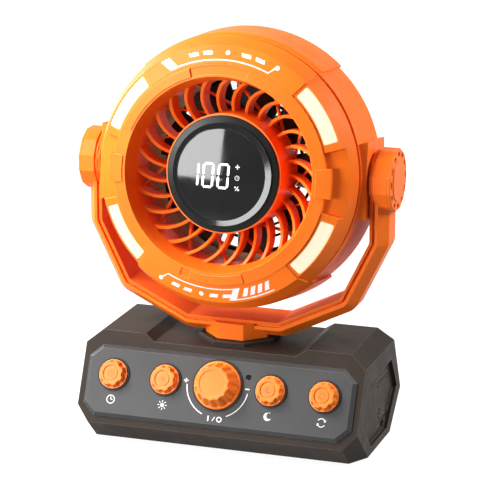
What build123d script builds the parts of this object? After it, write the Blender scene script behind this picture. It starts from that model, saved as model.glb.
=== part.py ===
"""Portable camping fan: a tilting, panning fan head with a light ring on a battery base.

Millimetres, +Z up. The origin is the centre of the footprint on the ground; the control
face looks along -Y and +X is the right-hand end, where the port door is.
"""
import os
from math import acos, atan2, cos, degrees, pi, radians, sin, tan

from build123d import *

os.makedirs("parts", exist_ok=True)

# ---- clearances -----------------------------------------------------------------
SEAT_GAP = 0.2          # between a seated piece and its seat
MOVE_GAP = 0.3          # between pieces that move past each other
SHAFT_GAP = 0.05        # radial running clearance of a shaft in its bore

# ---- base -----------------------------------------------------------------------
BASE_LENGTH = 210.0     # over the two end faces
BASE_TOP = 78.0         # height of the top face
BASE_TOP_DEPTH = 67.4   # front to back across the top face
BASE_EDGE_DEPTH = 124.4  # front to back across the lower edges, the widest place
BASE_EDGE_HEIGHT = 16.4  # height of those lower edges
BASE_FOOT_DEPTH = 90.8  # front to back across the underside
FOOT_HEIGHT = 1.0       # how far the feet hold the underside off the ground
END_BEVEL_LENGTH = 11.5  # top end bevel, measured along the base
END_BEVEL_HEIGHT = 9.4
CORNER_HEIGHT = 27.2    # where a lower corner facet starts on the end face
CORNER_RUN = 9.5        # how far that facet reaches along the lower edge
CORNER_FOOT = 29.1      # half-depth of the end face where it meets the underside
BASE_WALL = 3.0
CHANNEL_HALF = 60.8     # half-length of the top channel at the top face
CHANNEL_FLOOR_HALF = 53.4
CHANNEL_DEPTH = 5.0
END_PANEL_DEPTH = 3.0
END_PANEL = ((31.5, 55.5), (47.0, 31.0), (21.0, 6.0))   # half-depth and height of its corners
COVER_THICK = 1.9
POST_RADIUS = 4.5
POST_X, POST_Y = BASE_LENGTH / 2 - 39.0, 24.0
POST_BORE_DEPTH = 14.0
FOOT_RADIUS = 7.0
FOOT_X, FOOT_Y = BASE_LENGTH / 2 - 21.0, 29.0
FOOT_SINK = 1.2         # depth of a foot's pocket in the bottom cover
FOOT_BEVEL = 0.5
SCREW_RADIUS = 1.6
SCREW_LENGTH = 12.0

# ---- controls -------------------------------------------------------------------
PLATE_HALF = BASE_LENGTH / 2 - 4.5      # half-length of the raised control plate
PLATE_TOP, PLATE_BOTTOM = 11.0, 63.0     # distances down the face from the top edge
PLATE_CORNER_X, PLATE_CORNER_Y = 9.4, 8.8
PLATE_RAISE = 3.7
PLATE_SINK = 1.0
PLATE_BEVEL = 2.8
CONTROL_PITCH = (PLATE_HALF - 21.5) / 2
CONTROL_DOWN = 32.2     # control centres, down the face from the top edge
COLLAR_RADIUS = 12.0
COLLAR_HEIGHT = 0.9
COLLAR_LIP = 1.1
BUTTON_TRAVEL = 1.2
BUTTON_SKIRT = 2.2
BUTTON_HEIGHT = 6.8
BUTTON_TAPER = 18.0
BUTTON_LOBES = 8
BUTTON_FLUTE = 1.9
DISH_RADIUS, DOME_RADIUS = 6.2, 4.6
DISH_DEPTH, DOME_DEPTH = 0.9, 0.4
PLUNGER_RADIUS = 2.0
KNOB_COLLAR_RADIUS = 18.7
KNOB_FLANGE = 2.6
KNOB_HEIGHT = 13.5
KNOB_TAPER = 19.0
KNOB_LOBES = 14
KNOB_FLUTE = 1.7
KNOB_TOP_RADIUS, KNOB_TOP_SINK = 9.8, 0.6
KNOB_TOP_WALL = 3.8     # over the end of the shaft's bore
KNOB_ROUND = 1.0
PRESS_TRAVEL = 0.8
SHAFT_RADIUS = 3.0
BOARD_DEPTH = 12.0      # control board, below the housing's outer face
BOARD_THICK = 1.6
BOARD_LENGTH, BOARD_HEIGHT = 2 * PLATE_HALF - 23.0, 34.0
BOARD_CORNER = 3.0
STANDOFF_X, STANDOFF_DOWN, STANDOFF_RADIUS = 1.5 * CONTROL_PITCH, 13.0, 2.5
SWITCH_SIDE = 6.2
ENCODER_SIDE = 13.0
ENCODER_NECK, ENCODER_NECK_RADIUS = 3.0, 4.2
SENSOR_X, SENSOR_DOWN, SENSOR_RADIUS = 21.8, 24.0, 2.1

# ---- port door ------------------------------------------------------------------
DOOR_MIN_Y, DOOR_MAX_Y = 3.0, 30.0
DOOR_BOTTOM, DOOR_TOP = 13.0, 46.0
DOOR_THICK = 2.0
HINGE_RADIUS = 1.7
HINGE_PIN_RADIUS = 0.8
SWING_GAP = 0.6          # over the knuckle, so that the door opens past level
BAY_DEPTH = 9.0
BAY_WALL = 1.4
BAY_FLANGE = 2.0        # width of the insert's flange inside the end wall
NOTCH_RADIUS = 5.0
EAR_WIDTH = 3.0
SOCKETS = ((9.5, 16.0, 6.6), (20.5, 9.6, 3.8))     # drop from the top of the bay, width, height
SOCKET_WALL = 0.7
SOCKET_DEPTH = 5.0
SOCKET_REACH = 1.0      # into the bay
RIB_LENGTH, RIB_WIDTH, RIB_PITCH = 15.0, 1.4, 3.2
RIB_RAISE = 0.7
RIB_START = 5.0         # lowest rib, over the door's lower edge

# ---- pan drive ------------------------------------------------------------------
RING_CIRCUMRADIUS = 30.2
RING_HEIGHT = 3.0
NECK_CIRCUMRADIUS = 25.2
SPINDLE_RADIUS = 14.0
SPINDLE_BORE = 10.0
BUSH_WALL = 3.0
GEAR_MODULE = 1.25
GEAR_TEETH, PINION_TEETH = 48, 16
GEAR_WIDTH = 5.0
GEAR_TOP = 65.5
PRESSURE_ANGLE = 20.0
TOOTH_TIP, TOOTH_ROOT = 0.8, 1.0      # of the module, over and under the pitch circle
GEAR_RIM, GEAR_HUB, GEAR_SINK = 4.5, 3.4, 1.6   # widths of rim and hub, depth of the web's recess
PINION_HUB, PINION_HUB_HEIGHT = 2.5, 2.0
MOTOR_BEVEL = 1.0
BACKLASH = 0.24
MOTOR_RADIUS, MOTOR_HEIGHT = 14.0, 19.0
MOTOR_EARS, MOTOR_EAR_WIDTH = 35.0, 7.0
MOTOR_SHAFT_RADIUS = 2.5
BRACKET_SPAN, BRACKET_WIDTH, BRACKET_THICK = 44.0, 9.0, 2.0
BRACKET_POST = 3.5
PINION_RISE = 3.4        # of the pinion over the motor's face

# ---- yoke -----------------------------------------------------------------------
YOKE_FLOOR = 90.0       # height of the yoke's inner floor
YOKE_FLOOR_HALF = 34.0  # half-width of that floor
YOKE_CORNER = (21.0, 22.0)      # upper end of the sloping part: in from the arm, up from the floor
YOKE_ARM_START = 42.5   # where the upright arm starts, below the pivot
YOKE_ROUND = 2.0        # of the bends, on the inside
HEAD_ROOM = 9.3         # between the drum and the yoke's floor
YOKE_WIDTH = 33.6       # front to back
YOKE_THICK = 12.0
LINER_THICK = 2.0
SEAM_WIDTH, SEAM_DEPTH = 1.8, 2.5
YOKE_BEVEL_OUT, YOKE_BEVEL_SIDE = 6.0, 8.6
WIRE_DEPTH, WIRE_WIDTH = 4.0, 14.0
BOSS_RADIUS = 22.5
BOSS_SIDES = 12
ARM_DROP = 4.0          # of an arm's end below the pivot, inside the boss
BOSS_STEP = 1.8
BOSS_STEP_RADIUS = 20.5
BOSS_REACH = 13.4       # from the yoke's inner face to the boss's outer face
CAP_THICK = 2.2
CAP_BEVEL = 0.7
CAP_DISC_RADIUS, CAP_DISC_RAISE = 15.0, 0.6
CAP_POCKETS = 12
CAP_POCKET_RADIUS, CAP_POCKET_LENGTH, CAP_POCKET_WIDTH, CAP_POCKET_DEPTH = 18.5, 5.0, 3.2, 1.4
CAP_PINS, CAP_PIN_RADIUS = 3, 0.9
BOLT_RADIUS = 5.0
BOLT_HEAD_RADIUS, BOLT_HEAD = 8.5, 4.0     # of the counterbore
BOLT_REACH = 14.3       # of a bolt into the drum, from the pad
PIVOT_BOSS_RADIUS, PIVOT_BOSS_REACH = 9.0, 14.8     # of the drum's boss behind the pad
BOLT_SOCKET, BOLT_SOCKET_DEPTH = 3.4, 1.6
WASHER_RADIUS, WASHER_THICK = 12.2, 1.0

# ---- head: radii from its axis, and depths forward (+) or back (-) of the pivot axis ----
HEAD_TILT = 6.5         # how far the face looks up at rest
THROAT_RADIUS = 65.2    # inside of the air throat
THROAT_WALL = 2.8
LIP_STEP, LIP_WIDTH = 3.6, 8.9          # radial steps from the throat out to the rim
FACE_WIDTH, RIM_WIDTH, RIM_WALL = 11.6, 6.0, 2.3
LIP_RADIUS = THROAT_RADIUS + LIP_STEP   # the opening in the face
LIP_FRONT = 51.4
LIP_OUTER, LIP_OUTER_FRONT = LIP_RADIUS + LIP_WIDTH, 49.4
FACE_INNER, FACE_INNER_FRONT = LIP_OUTER + SEAT_GAP, 48.0
FACE_OUTER, FACE_OUTER_FRONT = FACE_INNER + FACE_WIDTH, 43.5
RIM_RADIUS, RIM_BACK = FACE_OUTER + RIM_WIDTH, 29.0
SPIGOT_RADIUS, SPIGOT_BACK = RIM_RADIUS - RIM_WALL, 18.0
SECTOR_RAISE = 1.0
DRUM_RAISE = 2.0        # of the drum's top and bottom bands
PIVOT_BAND_RAISE = 7.0  # of the bands over the pivots
TOP_SECTOR_START, TOP_SECTOR_END = 49.0, 131.0
SIDE_SECTOR = 15.5      # half-angle of the side blocks
LIGHT_START, LIGHT_END = 19.0, 47.5
LIGHT_INNER, LIGHT_OUTER = FACE_INNER + 1.1, FACE_OUTER - 0.9
LIGHT_THICK = 3.0
LIGHT_ROUND = 1.5       # of a light window's corners
LIGHT_LEG = 1.2         # of the diffuser's leg on the light board
LIGHT_SINK = 0.3        # of the diffusers below the face
VANES = 28
VANE_THICK = 2.0
VANE_RIM_FRONT, VANE_HUB_FRONT = 36.0, 18.5     # depths of the vanes' front edges
VANE_WIDTH = 13.0       # front to back
VANE_SWEEP = 13.0       # how far a vane lags at the throat, in degrees
STRUTS = 14             # straight struts behind the vanes, swept the other way
STRUT_THICK, STRUT_WIDTH, STRUT_SWEEP = 1.4, 3.5, 28.0
HUB_INNER, HUB_OUTER, HUB_FRONT = 39.6, 42.2, 38.4
LENS_RADIUS, LENS_FRONT, LENS_RISE = 32.0, 43.7, 1.6    # domed part, and its rise to the middle
LENS_RIM, LENS_RIM_FRONT = 36.4, 42.0                   # bevel round the dome
LENS_THICK = 1.6
BEZEL_RADIUS = 41.0
LED_BOARD_FRONT = 34.4
DRUM_FRONT, DRUM_FRONT_RADIUS = 24.0, RIM_RADIUS + 0.1
DRUM_BACK, DRUM_BACK_RADIUS = -18.6, DRUM_FRONT_RADIUS + 2.6
DRUM_END, DRUM_END_RADIUS = -28.0, DRUM_BACK_RADIUS - 10.2
DRUM_WALL = 2.6
DUCT_FRONT, DUCT_BACK = 12.8, -25.2
DUCT_WALL = 2.4
SEAM_BEVEL = 0.6        # on both edges of the seam between throat and duct
PAD_RADIUS, PAD_HEIGHT = 14.0, 2.3
PAD_FACE = DRUM_BACK_RADIUS + 0.6
FAN_HUB_RADIUS, FAN_HUB_FRONT, FAN_HUB_BACK = 20.0, 1.0, -20.0
BLADES = 9
BLADE_GAP = 3.7         # from the blades' tips to the duct
BLADE_TIP = THROAT_RADIUS - BLADE_GAP
BLADE_CENTRE = -8.5
FAN_MOTOR_RADIUS = 15.5
FAN_MOTOR_BACK = -8.0
FAN_SHAFT_RADIUS = 1.5
GUARD_FRONT, GUARD_THICK = -26.4, 2.6
GUARD_RINGS = 4
GUARD_BAR = 1.8
GUARD_SPOKES = 8
GUARD_HUB = 22.0
GUARD_WALL = 2.5
GUARD_RADIUS = THROAT_RADIUS - SEAT_GAP         # of the guard's neck inside the duct
DRUM_OPENING = THROAT_RADIUS + DUCT_WALL + 0.4  # in the drum's back plate
GUARD_RIM = DRUM_OPENING + 10.0
GUARD_SCREWS, GUARD_SCREW_CIRCLE = 4, DRUM_OPENING + 4.5
GUARD_SCREW_RADIUS, GUARD_SCREW_HEAD, GUARD_SCREW_HEAD_HEIGHT = 1.3, 2.8, 1.4

# ---- planes and shared values -----------------------------------------------------
FRONT_SLOPE = degrees(atan2((BASE_EDGE_DEPTH - BASE_TOP_DEPTH) / 2, BASE_TOP - BASE_EDGE_HEIGHT))
FRONT = Plane(
    origin=(0, -BASE_TOP_DEPTH / 2, BASE_TOP),
    x_dir=(1, 0, 0),
    z_dir=(0, -cos(radians(FRONT_SLOPE)), sin(radians(FRONT_SLOPE))),
)
PLATE_FACE = FRONT.offset(PLATE_RAISE)
PLATE_BACK = -PLATE_SINK
COLLAR_BORE = COLLAR_RADIUS - COLLAR_LIP
BUTTON_RADIUS = COLLAR_BORE - MOVE_GAP
KNOB_COLLAR_BORE = KNOB_COLLAR_RADIUS - COLLAR_LIP
KNOB_RADIUS = KNOB_COLLAR_BORE - MOVE_GAP
FLANGE_THICK = 1.2
RECESS_FLOOR = -PLATE_SINK - SEAT_GAP      # floor of the plate's seat in the housing
PANEL_FLOOR = BASE_LENGTH / 2 - END_PANEL_DEPTH
CHANNEL_TOP = BASE_TOP - CHANNEL_DEPTH
HINGE_X = PANEL_FLOOR - HINGE_RADIUS
HINGE_Z = DOOR_TOP - HINGE_RADIUS - SWING_GAP
RING_TOP = CHANNEL_TOP + RING_HEIGHT
NECK_BOTTOM = RING_TOP + MOVE_GAP
GEAR_RADIUS = GEAR_MODULE * GEAR_TEETH / 2
PINION_RADIUS = GEAR_MODULE * PINION_TEETH / 2
PINION_X = -(GEAR_RADIUS + PINION_RADIUS)
MOTOR_TOP = GEAR_TOP - GEAR_WIDTH - PINION_RISE
PIVOT_HEIGHT = YOKE_FLOOR + DRUM_BACK_RADIUS + HEAD_ROOM
YOKE_HALF = PAD_FACE + WASHER_THICK + 2 * SEAT_GAP      # inner face of the liner at the pivots
YOKE_INNER = (          # half-width and height of the corners
    (YOKE_HALF, PIVOT_HEIGHT - YOKE_ARM_START),
    (YOKE_HALF - YOKE_CORNER[0], YOKE_FLOOR + YOKE_CORNER[1]),
    (YOKE_FLOOR_HALF, YOKE_FLOOR),
)
BOSS_FACE = YOKE_HALF + BOSS_REACH
CAP_SEAT = BOSS_FACE + SEAT_GAP

FACE = Plane(
    origin=(0, 0, PIVOT_HEIGHT),
    x_dir=(1, 0, 0),
    z_dir=(0, -cos(radians(HEAD_TILT)), sin(radians(HEAD_TILT))),
)
FACE_AXIS = Axis(FACE.origin, FACE.z_dir)


# ---- shared shapes ------------------------------------------------------------------
def radial_plane(angle):
    """Plane through the head's axis: its x runs outward at that angle, its y forward."""
    outward = FACE.x_dir * cos(radians(angle)) + FACE.y_dir * sin(radians(angle))
    return Plane(origin=FACE.origin, x_dir=outward, z_dir=outward.cross(FACE.z_dir))


def head_section(points, angle=0.0):
    """Closed profile of (radius, depth) points on a plane through the head's axis."""
    with BuildSketch(radial_plane(angle)) as profile:
        with BuildLine():
            Polyline(*points, close=True)
        make_face()
    return profile.sketch


def turn(points, mode=Mode.ADD):
    """Turns a (radius, depth) profile all round the head's axis, into the part being built."""
    revolve(head_section(points), axis=FACE_AXIS, mode=mode)


def turn_sector(points, start, end, mode=Mode.ADD):
    """Turns the profile only from one angle to another, counted from the right-hand side."""
    revolve(head_section(points, start), axis=FACE_AXIS, revolution_arc=end - start, mode=mode)


def save(builder, name):
    builder.part.label = name
    export_step(builder.part, f"parts/{name}.step")


def line_at(first, second, value):
    """Second coordinate, at a first coordinate, of the line through two points."""
    share = (value - first[0]) / (second[0] - first[0])
    return first[1] + share * (second[1] - first[1])


# ==== base housing =====================================================================
EDGE_HALF = BASE_EDGE_DEPTH / 2
TOP_HALF = BASE_TOP_DEPTH / 2
FOOT_HALF = BASE_FOOT_DEPTH / 2
HALF_LENGTH = BASE_LENGTH / 2
END_PANEL_OUTLINE = [
    *END_PANEL,
    *((-y, z) for y, z in reversed(END_PANEL)),
]


def corner_plane(side_x, side_y):
    """Facet through the end face, the lower edge and the underside at one lower corner."""
    on_end = Vector(
        side_x * HALF_LENGTH,
        side_y * line_at((BASE_TOP, TOP_HALF), (BASE_EDGE_HEIGHT, EDGE_HALF), CORNER_HEIGHT),
        CORNER_HEIGHT,
    )
    on_edge = Vector(side_x * (HALF_LENGTH - CORNER_RUN), side_y * EDGE_HALF, BASE_EDGE_HEIGHT)
    on_foot = Vector(side_x * HALF_LENGTH, side_y * CORNER_FOOT, FOOT_HEIGHT)
    normal = (on_edge - on_end).cross(on_foot - on_end)
    if normal.X * side_x < 0:
        normal = -normal
    return Plane(origin=on_end, x_dir=on_foot - on_end, z_dir=normal)


with BuildPart() as base_block:
    with BuildSketch(Plane.YZ.offset(-HALF_LENGTH)):
        with BuildLine():
            Polyline(
                (-FOOT_HALF, FOOT_HEIGHT), (-EDGE_HALF, BASE_EDGE_HEIGHT), (-TOP_HALF, BASE_TOP),
                (TOP_HALF, BASE_TOP), (EDGE_HALF, BASE_EDGE_HEIGHT), (FOOT_HALF, FOOT_HEIGHT),
                close=True,
            )
        make_face()
    extrude(amount=BASE_LENGTH)
    for side_x in (1, -1):
        top_end = (
            base_block.edges()
            .filter_by(Axis.Y)
            .filter_by_position(Axis.Z, BASE_TOP - 0.1, BASE_TOP + 0.1)
            .sort_by(Axis.X)[-1 if side_x > 0 else 0]
        )
        chamfer(top_end, length=END_BEVEL_LENGTH, length2=END_BEVEL_HEIGHT,
                reference=base_block.faces().sort_by(Axis.Z)[-1])
    for side_x in (1, -1):
        for side_y in (1, -1):
            split(bisect_by=corner_plane(side_x, side_y), keep=Keep.BOTTOM)
    with BuildSketch(Plane.XZ.offset(-EDGE_HALF)):
        with BuildLine():
            Polyline(
                (-CHANNEL_HALF, BASE_TOP), (-CHANNEL_FLOOR_HALF, CHANNEL_TOP),
                (CHANNEL_FLOOR_HALF, CHANNEL_TOP), (CHANNEL_HALF, BASE_TOP), close=True,
            )
        make_face()
    extrude(amount=BASE_EDGE_DEPTH, mode=Mode.SUBTRACT)
    for side_x in (1, -1):
        with BuildSketch(Plane.YZ.offset(side_x * PANEL_FLOOR)):
            with BuildLine():
                Polyline(*END_PANEL_OUTLINE, close=True)
            make_face()
        extrude(amount=side_x * END_PANEL_DEPTH, mode=Mode.SUBTRACT)


def front_local(x, down):
    """Point on the control face: along the base, and down from the top edge."""
    return (x, -down)


BUTTON_SPOTS = [
    ("timer_button", front_local(-2 * CONTROL_PITCH, CONTROL_DOWN)),
    ("light_button", front_local(-CONTROL_PITCH, CONTROL_DOWN)),
    ("night_button", front_local(CONTROL_PITCH, CONTROL_DOWN)),
    ("rotation_button", front_local(2 * CONTROL_PITCH, CONTROL_DOWN)),
]
KNOB_SPOT = front_local(0, CONTROL_DOWN)
SENSOR_SPOT = front_local(SENSOR_X, SENSOR_DOWN)
SMALL_SPOTS = [spot for _, spot in BUTTON_SPOTS]
POSTS = [(x, y) for x in (-POST_X, POST_X) for y in (-POST_Y, POST_Y)]
FEET = [(0.0, 0.0), *((x, y) for x in (-FOOT_X, FOOT_X) for y in (-FOOT_Y, FOOT_Y))]
COVER_TOP = FOOT_HEIGHT + COVER_THICK


def plate_sketch(plane, grow=0.0):
    """Eight-sided outline of the control plate, grown all round by a clearance."""
    half, top, bottom = PLATE_HALF + grow, -PLATE_TOP + grow, -PLATE_BOTTOM - grow
    with BuildSketch(plane) as outline:
        with BuildLine():
            Polyline(
                (-half, top - PLATE_CORNER_Y), (-half + PLATE_CORNER_X, top),
                (half - PLATE_CORNER_X, top), (half, top - PLATE_CORNER_Y),
                (half, bottom + PLATE_CORNER_Y), (half - PLATE_CORNER_X, bottom),
                (-half + PLATE_CORNER_X, bottom), (-half, bottom + PLATE_CORNER_Y),
                close=True,
            )
        make_face()
    return outline.sketch


BAY_BACK = PANEL_FLOOR - BAY_DEPTH
DOOR_MID_Y = (DOOR_MIN_Y + DOOR_MAX_Y) / 2
DOOR_MID_Z = (DOOR_BOTTOM + DOOR_TOP) / 2
DOOR_SPAN_Y = DOOR_MAX_Y - DOOR_MIN_Y
DOOR_SPAN_Z = DOOR_TOP - DOOR_BOTTOM
BAY_SPAN_Y = DOOR_SPAN_Y + 2 * BAY_WALL
BAY_SPAN_Z = DOOR_SPAN_Z + 2 * BAY_WALL
END_AXIS = Plane(origin=(0, DOOR_MID_Y, DOOR_MID_Z), x_dir=(0, 1, 0), z_dir=(1, 0, 0))


def cut_notch():
    """Finger notch below the port door."""
    with BuildSketch(END_AXIS.offset(PANEL_FLOOR)) as notch:
        with Locations((0, -DOOR_SPAN_Z / 2)):
            Circle(NOTCH_RADIUS)
    extrude(notch.sketch, amount=-DOOR_THICK, mode=Mode.SUBTRACT)


with BuildPart() as base_housing:
    add(base_block.part)
    offset(amount=-BASE_WALL, openings=base_housing.faces().sort_by(Axis.Z)[0], kind=Kind.INTERSECTION)
    # seat and passages of the control plate
    extrude(plate_sketch(FRONT.offset(RECESS_FLOOR), SEAT_GAP), amount=BASE_WALL, mode=Mode.SUBTRACT)
    with BuildSketch(FRONT):
        with Locations(*SMALL_SPOTS):
            Circle(COLLAR_RADIUS + 1.0)
        with Locations(KNOB_SPOT):
            Circle(KNOB_COLLAR_RADIUS)
        with Locations(SENSOR_SPOT):
            Circle(SENSOR_RADIUS + MOVE_GAP)
    extrude(amount=-2 * BASE_WALL, mode=Mode.SUBTRACT)
    # board standoffs
    with BuildSketch(FRONT.offset(BOARD_THICK - BOARD_DEPTH)):
        with Locations(front_local(0, CONTROL_DOWN)):
            with GridLocations(2 * STANDOFF_X, 2 * STANDOFF_DOWN, 2, 2):
                Circle(STANDOFF_RADIUS)
    extrude(amount=BOARD_DEPTH - BOARD_THICK - BASE_WALL / 2)
    # bore of the pan bush
    with BuildSketch(Plane.XY.offset(CHANNEL_TOP)):
        Circle(SPINDLE_RADIUS + SHAFT_GAP + BUSH_WALL + SEAT_GAP)
    extrude(amount=-2 * BASE_WALL, mode=Mode.SUBTRACT)
    # screw posts of the bottom cover
    with BuildSketch(Plane.XY.offset(COVER_TOP + SEAT_GAP)):
        with Locations(*POSTS):
            Circle(POST_RADIUS)
    extrude(amount=BASE_TOP - BASE_WALL / 2 - COVER_TOP)
    with BuildSketch(Plane.XY.offset(COVER_TOP)):
        with Locations(*POSTS):
            Circle(SCREW_RADIUS + SHAFT_GAP)
    extrude(amount=POST_BORE_DEPTH, mode=Mode.SUBTRACT)
    # opening of the port bay
    with BuildSketch(END_AXIS.offset(PANEL_FLOOR)):
        Rectangle(BAY_SPAN_Y + 2 * SEAT_GAP, BAY_SPAN_Z + 2 * SEAT_GAP)
    extrude(amount=-2 * BASE_WALL, mode=Mode.SUBTRACT)
    cut_notch()
save(base_housing, "base_housing")

# ==== underside ==========================================================================
cover_opening = base_housing.faces().sort_by(Axis.Z)[0].inner_wires()[0]
cover_outline = offset(Face(cover_opening), amount=-SEAT_GAP, kind=Kind.INTERSECTION)

with BuildPart() as bottom_cover:
    extrude(cover_outline, amount=COVER_THICK, dir=(0, 0, 1))
    with BuildSketch(Plane.XY.offset(FOOT_HEIGHT)):
        with Locations(*FEET):
            Circle(FOOT_RADIUS + SEAT_GAP)
    extrude(amount=FOOT_SINK, mode=Mode.SUBTRACT)
    with Locations(*[Location((x, y, FOOT_HEIGHT), (180, 0, 0)) for x, y in POSTS]):
        CounterSinkHole(SCREW_RADIUS + SEAT_GAP, 2 * SCREW_RADIUS + SEAT_GAP, COVER_THICK)
save(bottom_cover, "bottom_cover")

with BuildPart() as rubber_feet:
    with BuildSketch(Plane.XY):
        with Locations(*FEET):
            Circle(FOOT_RADIUS)
    extrude(amount=FOOT_HEIGHT + FOOT_SINK - SHAFT_GAP)
    chamfer(rubber_feet.edges().group_by(Axis.Z)[0], length=FOOT_BEVEL)
save(rubber_feet, "rubber_feet")

with BuildPart() as base_screws:
    for x, y in POSTS:
        for height, radius in (
            (FOOT_HEIGHT + SEAT_GAP, 2 * SCREW_RADIUS - SEAT_GAP), (FOOT_HEIGHT + COVER_THICK, SCREW_RADIUS),
        ):
            with BuildSketch(Plane.XY.offset(height)):
                with Locations((x, y)):
                    Circle(radius)
        loft()
        with BuildSketch(Plane.XY.offset(FOOT_HEIGHT + COVER_THICK)):
            with Locations((x, y)):
                Circle(SCREW_RADIUS)
        extrude(amount=SCREW_LENGTH - COVER_THICK)
save(base_screws, "base_screws")

# ==== control plate, collars, window =====================================================
SLEEVE_WALL = 0.7
SLEEVE = COLLAR_BORE + SLEEVE_WALL
KNOB_SLEEVE = KNOB_COLLAR_BORE + SLEEVE_WALL

with BuildPart() as control_plate:
    extrude(plate_sketch(FRONT.offset(PLATE_BACK)), amount=PLATE_RAISE + PLATE_SINK)
    front_edges = control_plate.faces().sort_by(Axis(FRONT.origin, FRONT.z_dir))[-1].edges()
    chamfer(front_edges, length=PLATE_BEVEL)
    with BuildSketch(PLATE_FACE):
        with Locations(*SMALL_SPOTS):
            Circle(SLEEVE + SHAFT_GAP)
        with Locations(KNOB_SPOT):
            Circle(KNOB_SLEEVE + SHAFT_GAP)
        with Locations(SENSOR_SPOT):
            Circle(SENSOR_RADIUS + SHAFT_GAP)
    extrude(amount=-3 * PLATE_RAISE, mode=Mode.SUBTRACT)
save(control_plate, "control_plate")


def make_collar(spots, outer, sleeve, bore, name):
    """Flanged rings pressed into the plate from the front."""
    with BuildPart() as collar:
        for radius, start, length in (
            (outer, SEAT_GAP / 4, COLLAR_HEIGHT),
            (sleeve, -PLATE_RAISE - PLATE_SINK, PLATE_RAISE + PLATE_SINK + COLLAR_HEIGHT),
        ):
            with BuildSketch(PLATE_FACE.offset(start)) as ring:
                with Locations(*spots):
                    Circle(radius)
                    Circle(bore, mode=Mode.SUBTRACT)
            extrude(ring.sketch, amount=length)
    save(collar, name)


make_collar(SMALL_SPOTS, COLLAR_RADIUS, SLEEVE, COLLAR_BORE, "button_collars")
make_collar([KNOB_SPOT], KNOB_COLLAR_RADIUS, KNOB_SLEEVE, KNOB_COLLAR_BORE, "knob_collar")

with BuildPart() as sensor_window:
    with BuildSketch(PLATE_FACE.offset(-PLATE_RAISE - PLATE_SINK)):
        with Locations(SENSOR_SPOT):
            Circle(SENSOR_RADIUS)
    extrude(amount=PLATE_RAISE + PLATE_SINK + SEAT_GAP)
save(sensor_window, "sensor_window")

# ==== buttons and knob =====================================================================
BARREL_DEPTH = PLATE_RAISE + PLATE_SINK + MOVE_GAP       # top of a button's retaining flange
PLUNGER_REACH = 2.6     # below the flange
PLUNGER_TIP = BARREL_DEPTH + FLANGE_THICK + PLUNGER_REACH
SWITCH_TOP = PLUNGER_TIP + BUTTON_TRAVEL + SHAFT_GAP


def lobed_cap(spot, plane, radius, height, lobes, flute, taper):
    """Tapered grip whose rim is scalloped by evenly spaced flutes."""
    with BuildSketch(plane) as outline:
        with Locations(spot):
            Circle(radius)
            with PolarLocations(radius + 0.45 * flute, lobes):
                Circle(flute, mode=Mode.SUBTRACT)
    extrude(outline.sketch, amount=height, taper=taper)


ROOT = 0.5               # how far a grip reaches into what it stands on
for button_name, spot in BUTTON_SPOTS:
    with BuildPart() as button:
        for radius, start, length in (
            (BUTTON_RADIUS, -BARREL_DEPTH, BARREL_DEPTH + BUTTON_SKIRT),
            (COLLAR_RADIUS, -BARREL_DEPTH, -FLANGE_THICK),
            (PLUNGER_RADIUS, -BARREL_DEPTH, BARREL_DEPTH - PLUNGER_TIP),
        ):
            with BuildSketch(PLATE_FACE.offset(start)) as barrel:
                with Locations(spot):
                    Circle(radius)
            extrude(barrel.sketch, amount=length)
        lobed_cap(spot, PLATE_FACE.offset(BUTTON_SKIRT - ROOT), BUTTON_RADIUS - MOVE_GAP,
                  BUTTON_HEIGHT - BUTTON_SKIRT + ROOT, BUTTON_LOBES, BUTTON_FLUTE, BUTTON_TAPER)
        # dished top with a low dome in it
        for radius, bore, depth in ((DISH_RADIUS, DOME_RADIUS, DISH_DEPTH), (DOME_RADIUS, 0.0, DOME_DEPTH)):
            with BuildSketch(PLATE_FACE.offset(BUTTON_HEIGHT)) as dish:
                with Locations(spot):
                    Circle(radius)
                    if bore:
                        Circle(bore, mode=Mode.SUBTRACT)
            extrude(dish.sketch, amount=-depth, mode=Mode.SUBTRACT)
    save(button, button_name)

BOARD_TOP = PLATE_RAISE + BOARD_DEPTH - BOARD_THICK      # depth of the board's face below the plate
SWITCH_TRAVEL = 0.8
with BuildPart() as button_switches:
    with BuildSketch(PLATE_FACE.offset(-BOARD_TOP)):
        with Locations(*SMALL_SPOTS):
            Rectangle(SWITCH_SIDE, SWITCH_SIDE)
    extrude(amount=BOARD_TOP - SWITCH_TOP - SWITCH_TRAVEL)
    with BuildSketch(PLATE_FACE.offset(-BOARD_TOP)):
        with Locations(*SMALL_SPOTS):
            Circle(PLUNGER_RADIUS)
    extrude(amount=BOARD_TOP - SWITCH_TOP)
save(button_switches, "button_switches")

with BuildPart() as control_board:
    with BuildSketch(FRONT.offset(-BOARD_DEPTH)):
        with Locations(front_local(0, CONTROL_DOWN)):
            RectangleRounded(BOARD_LENGTH, BOARD_HEIGHT, BOARD_CORNER)
    extrude(amount=BOARD_THICK)
save(control_board, "control_board")

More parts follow.
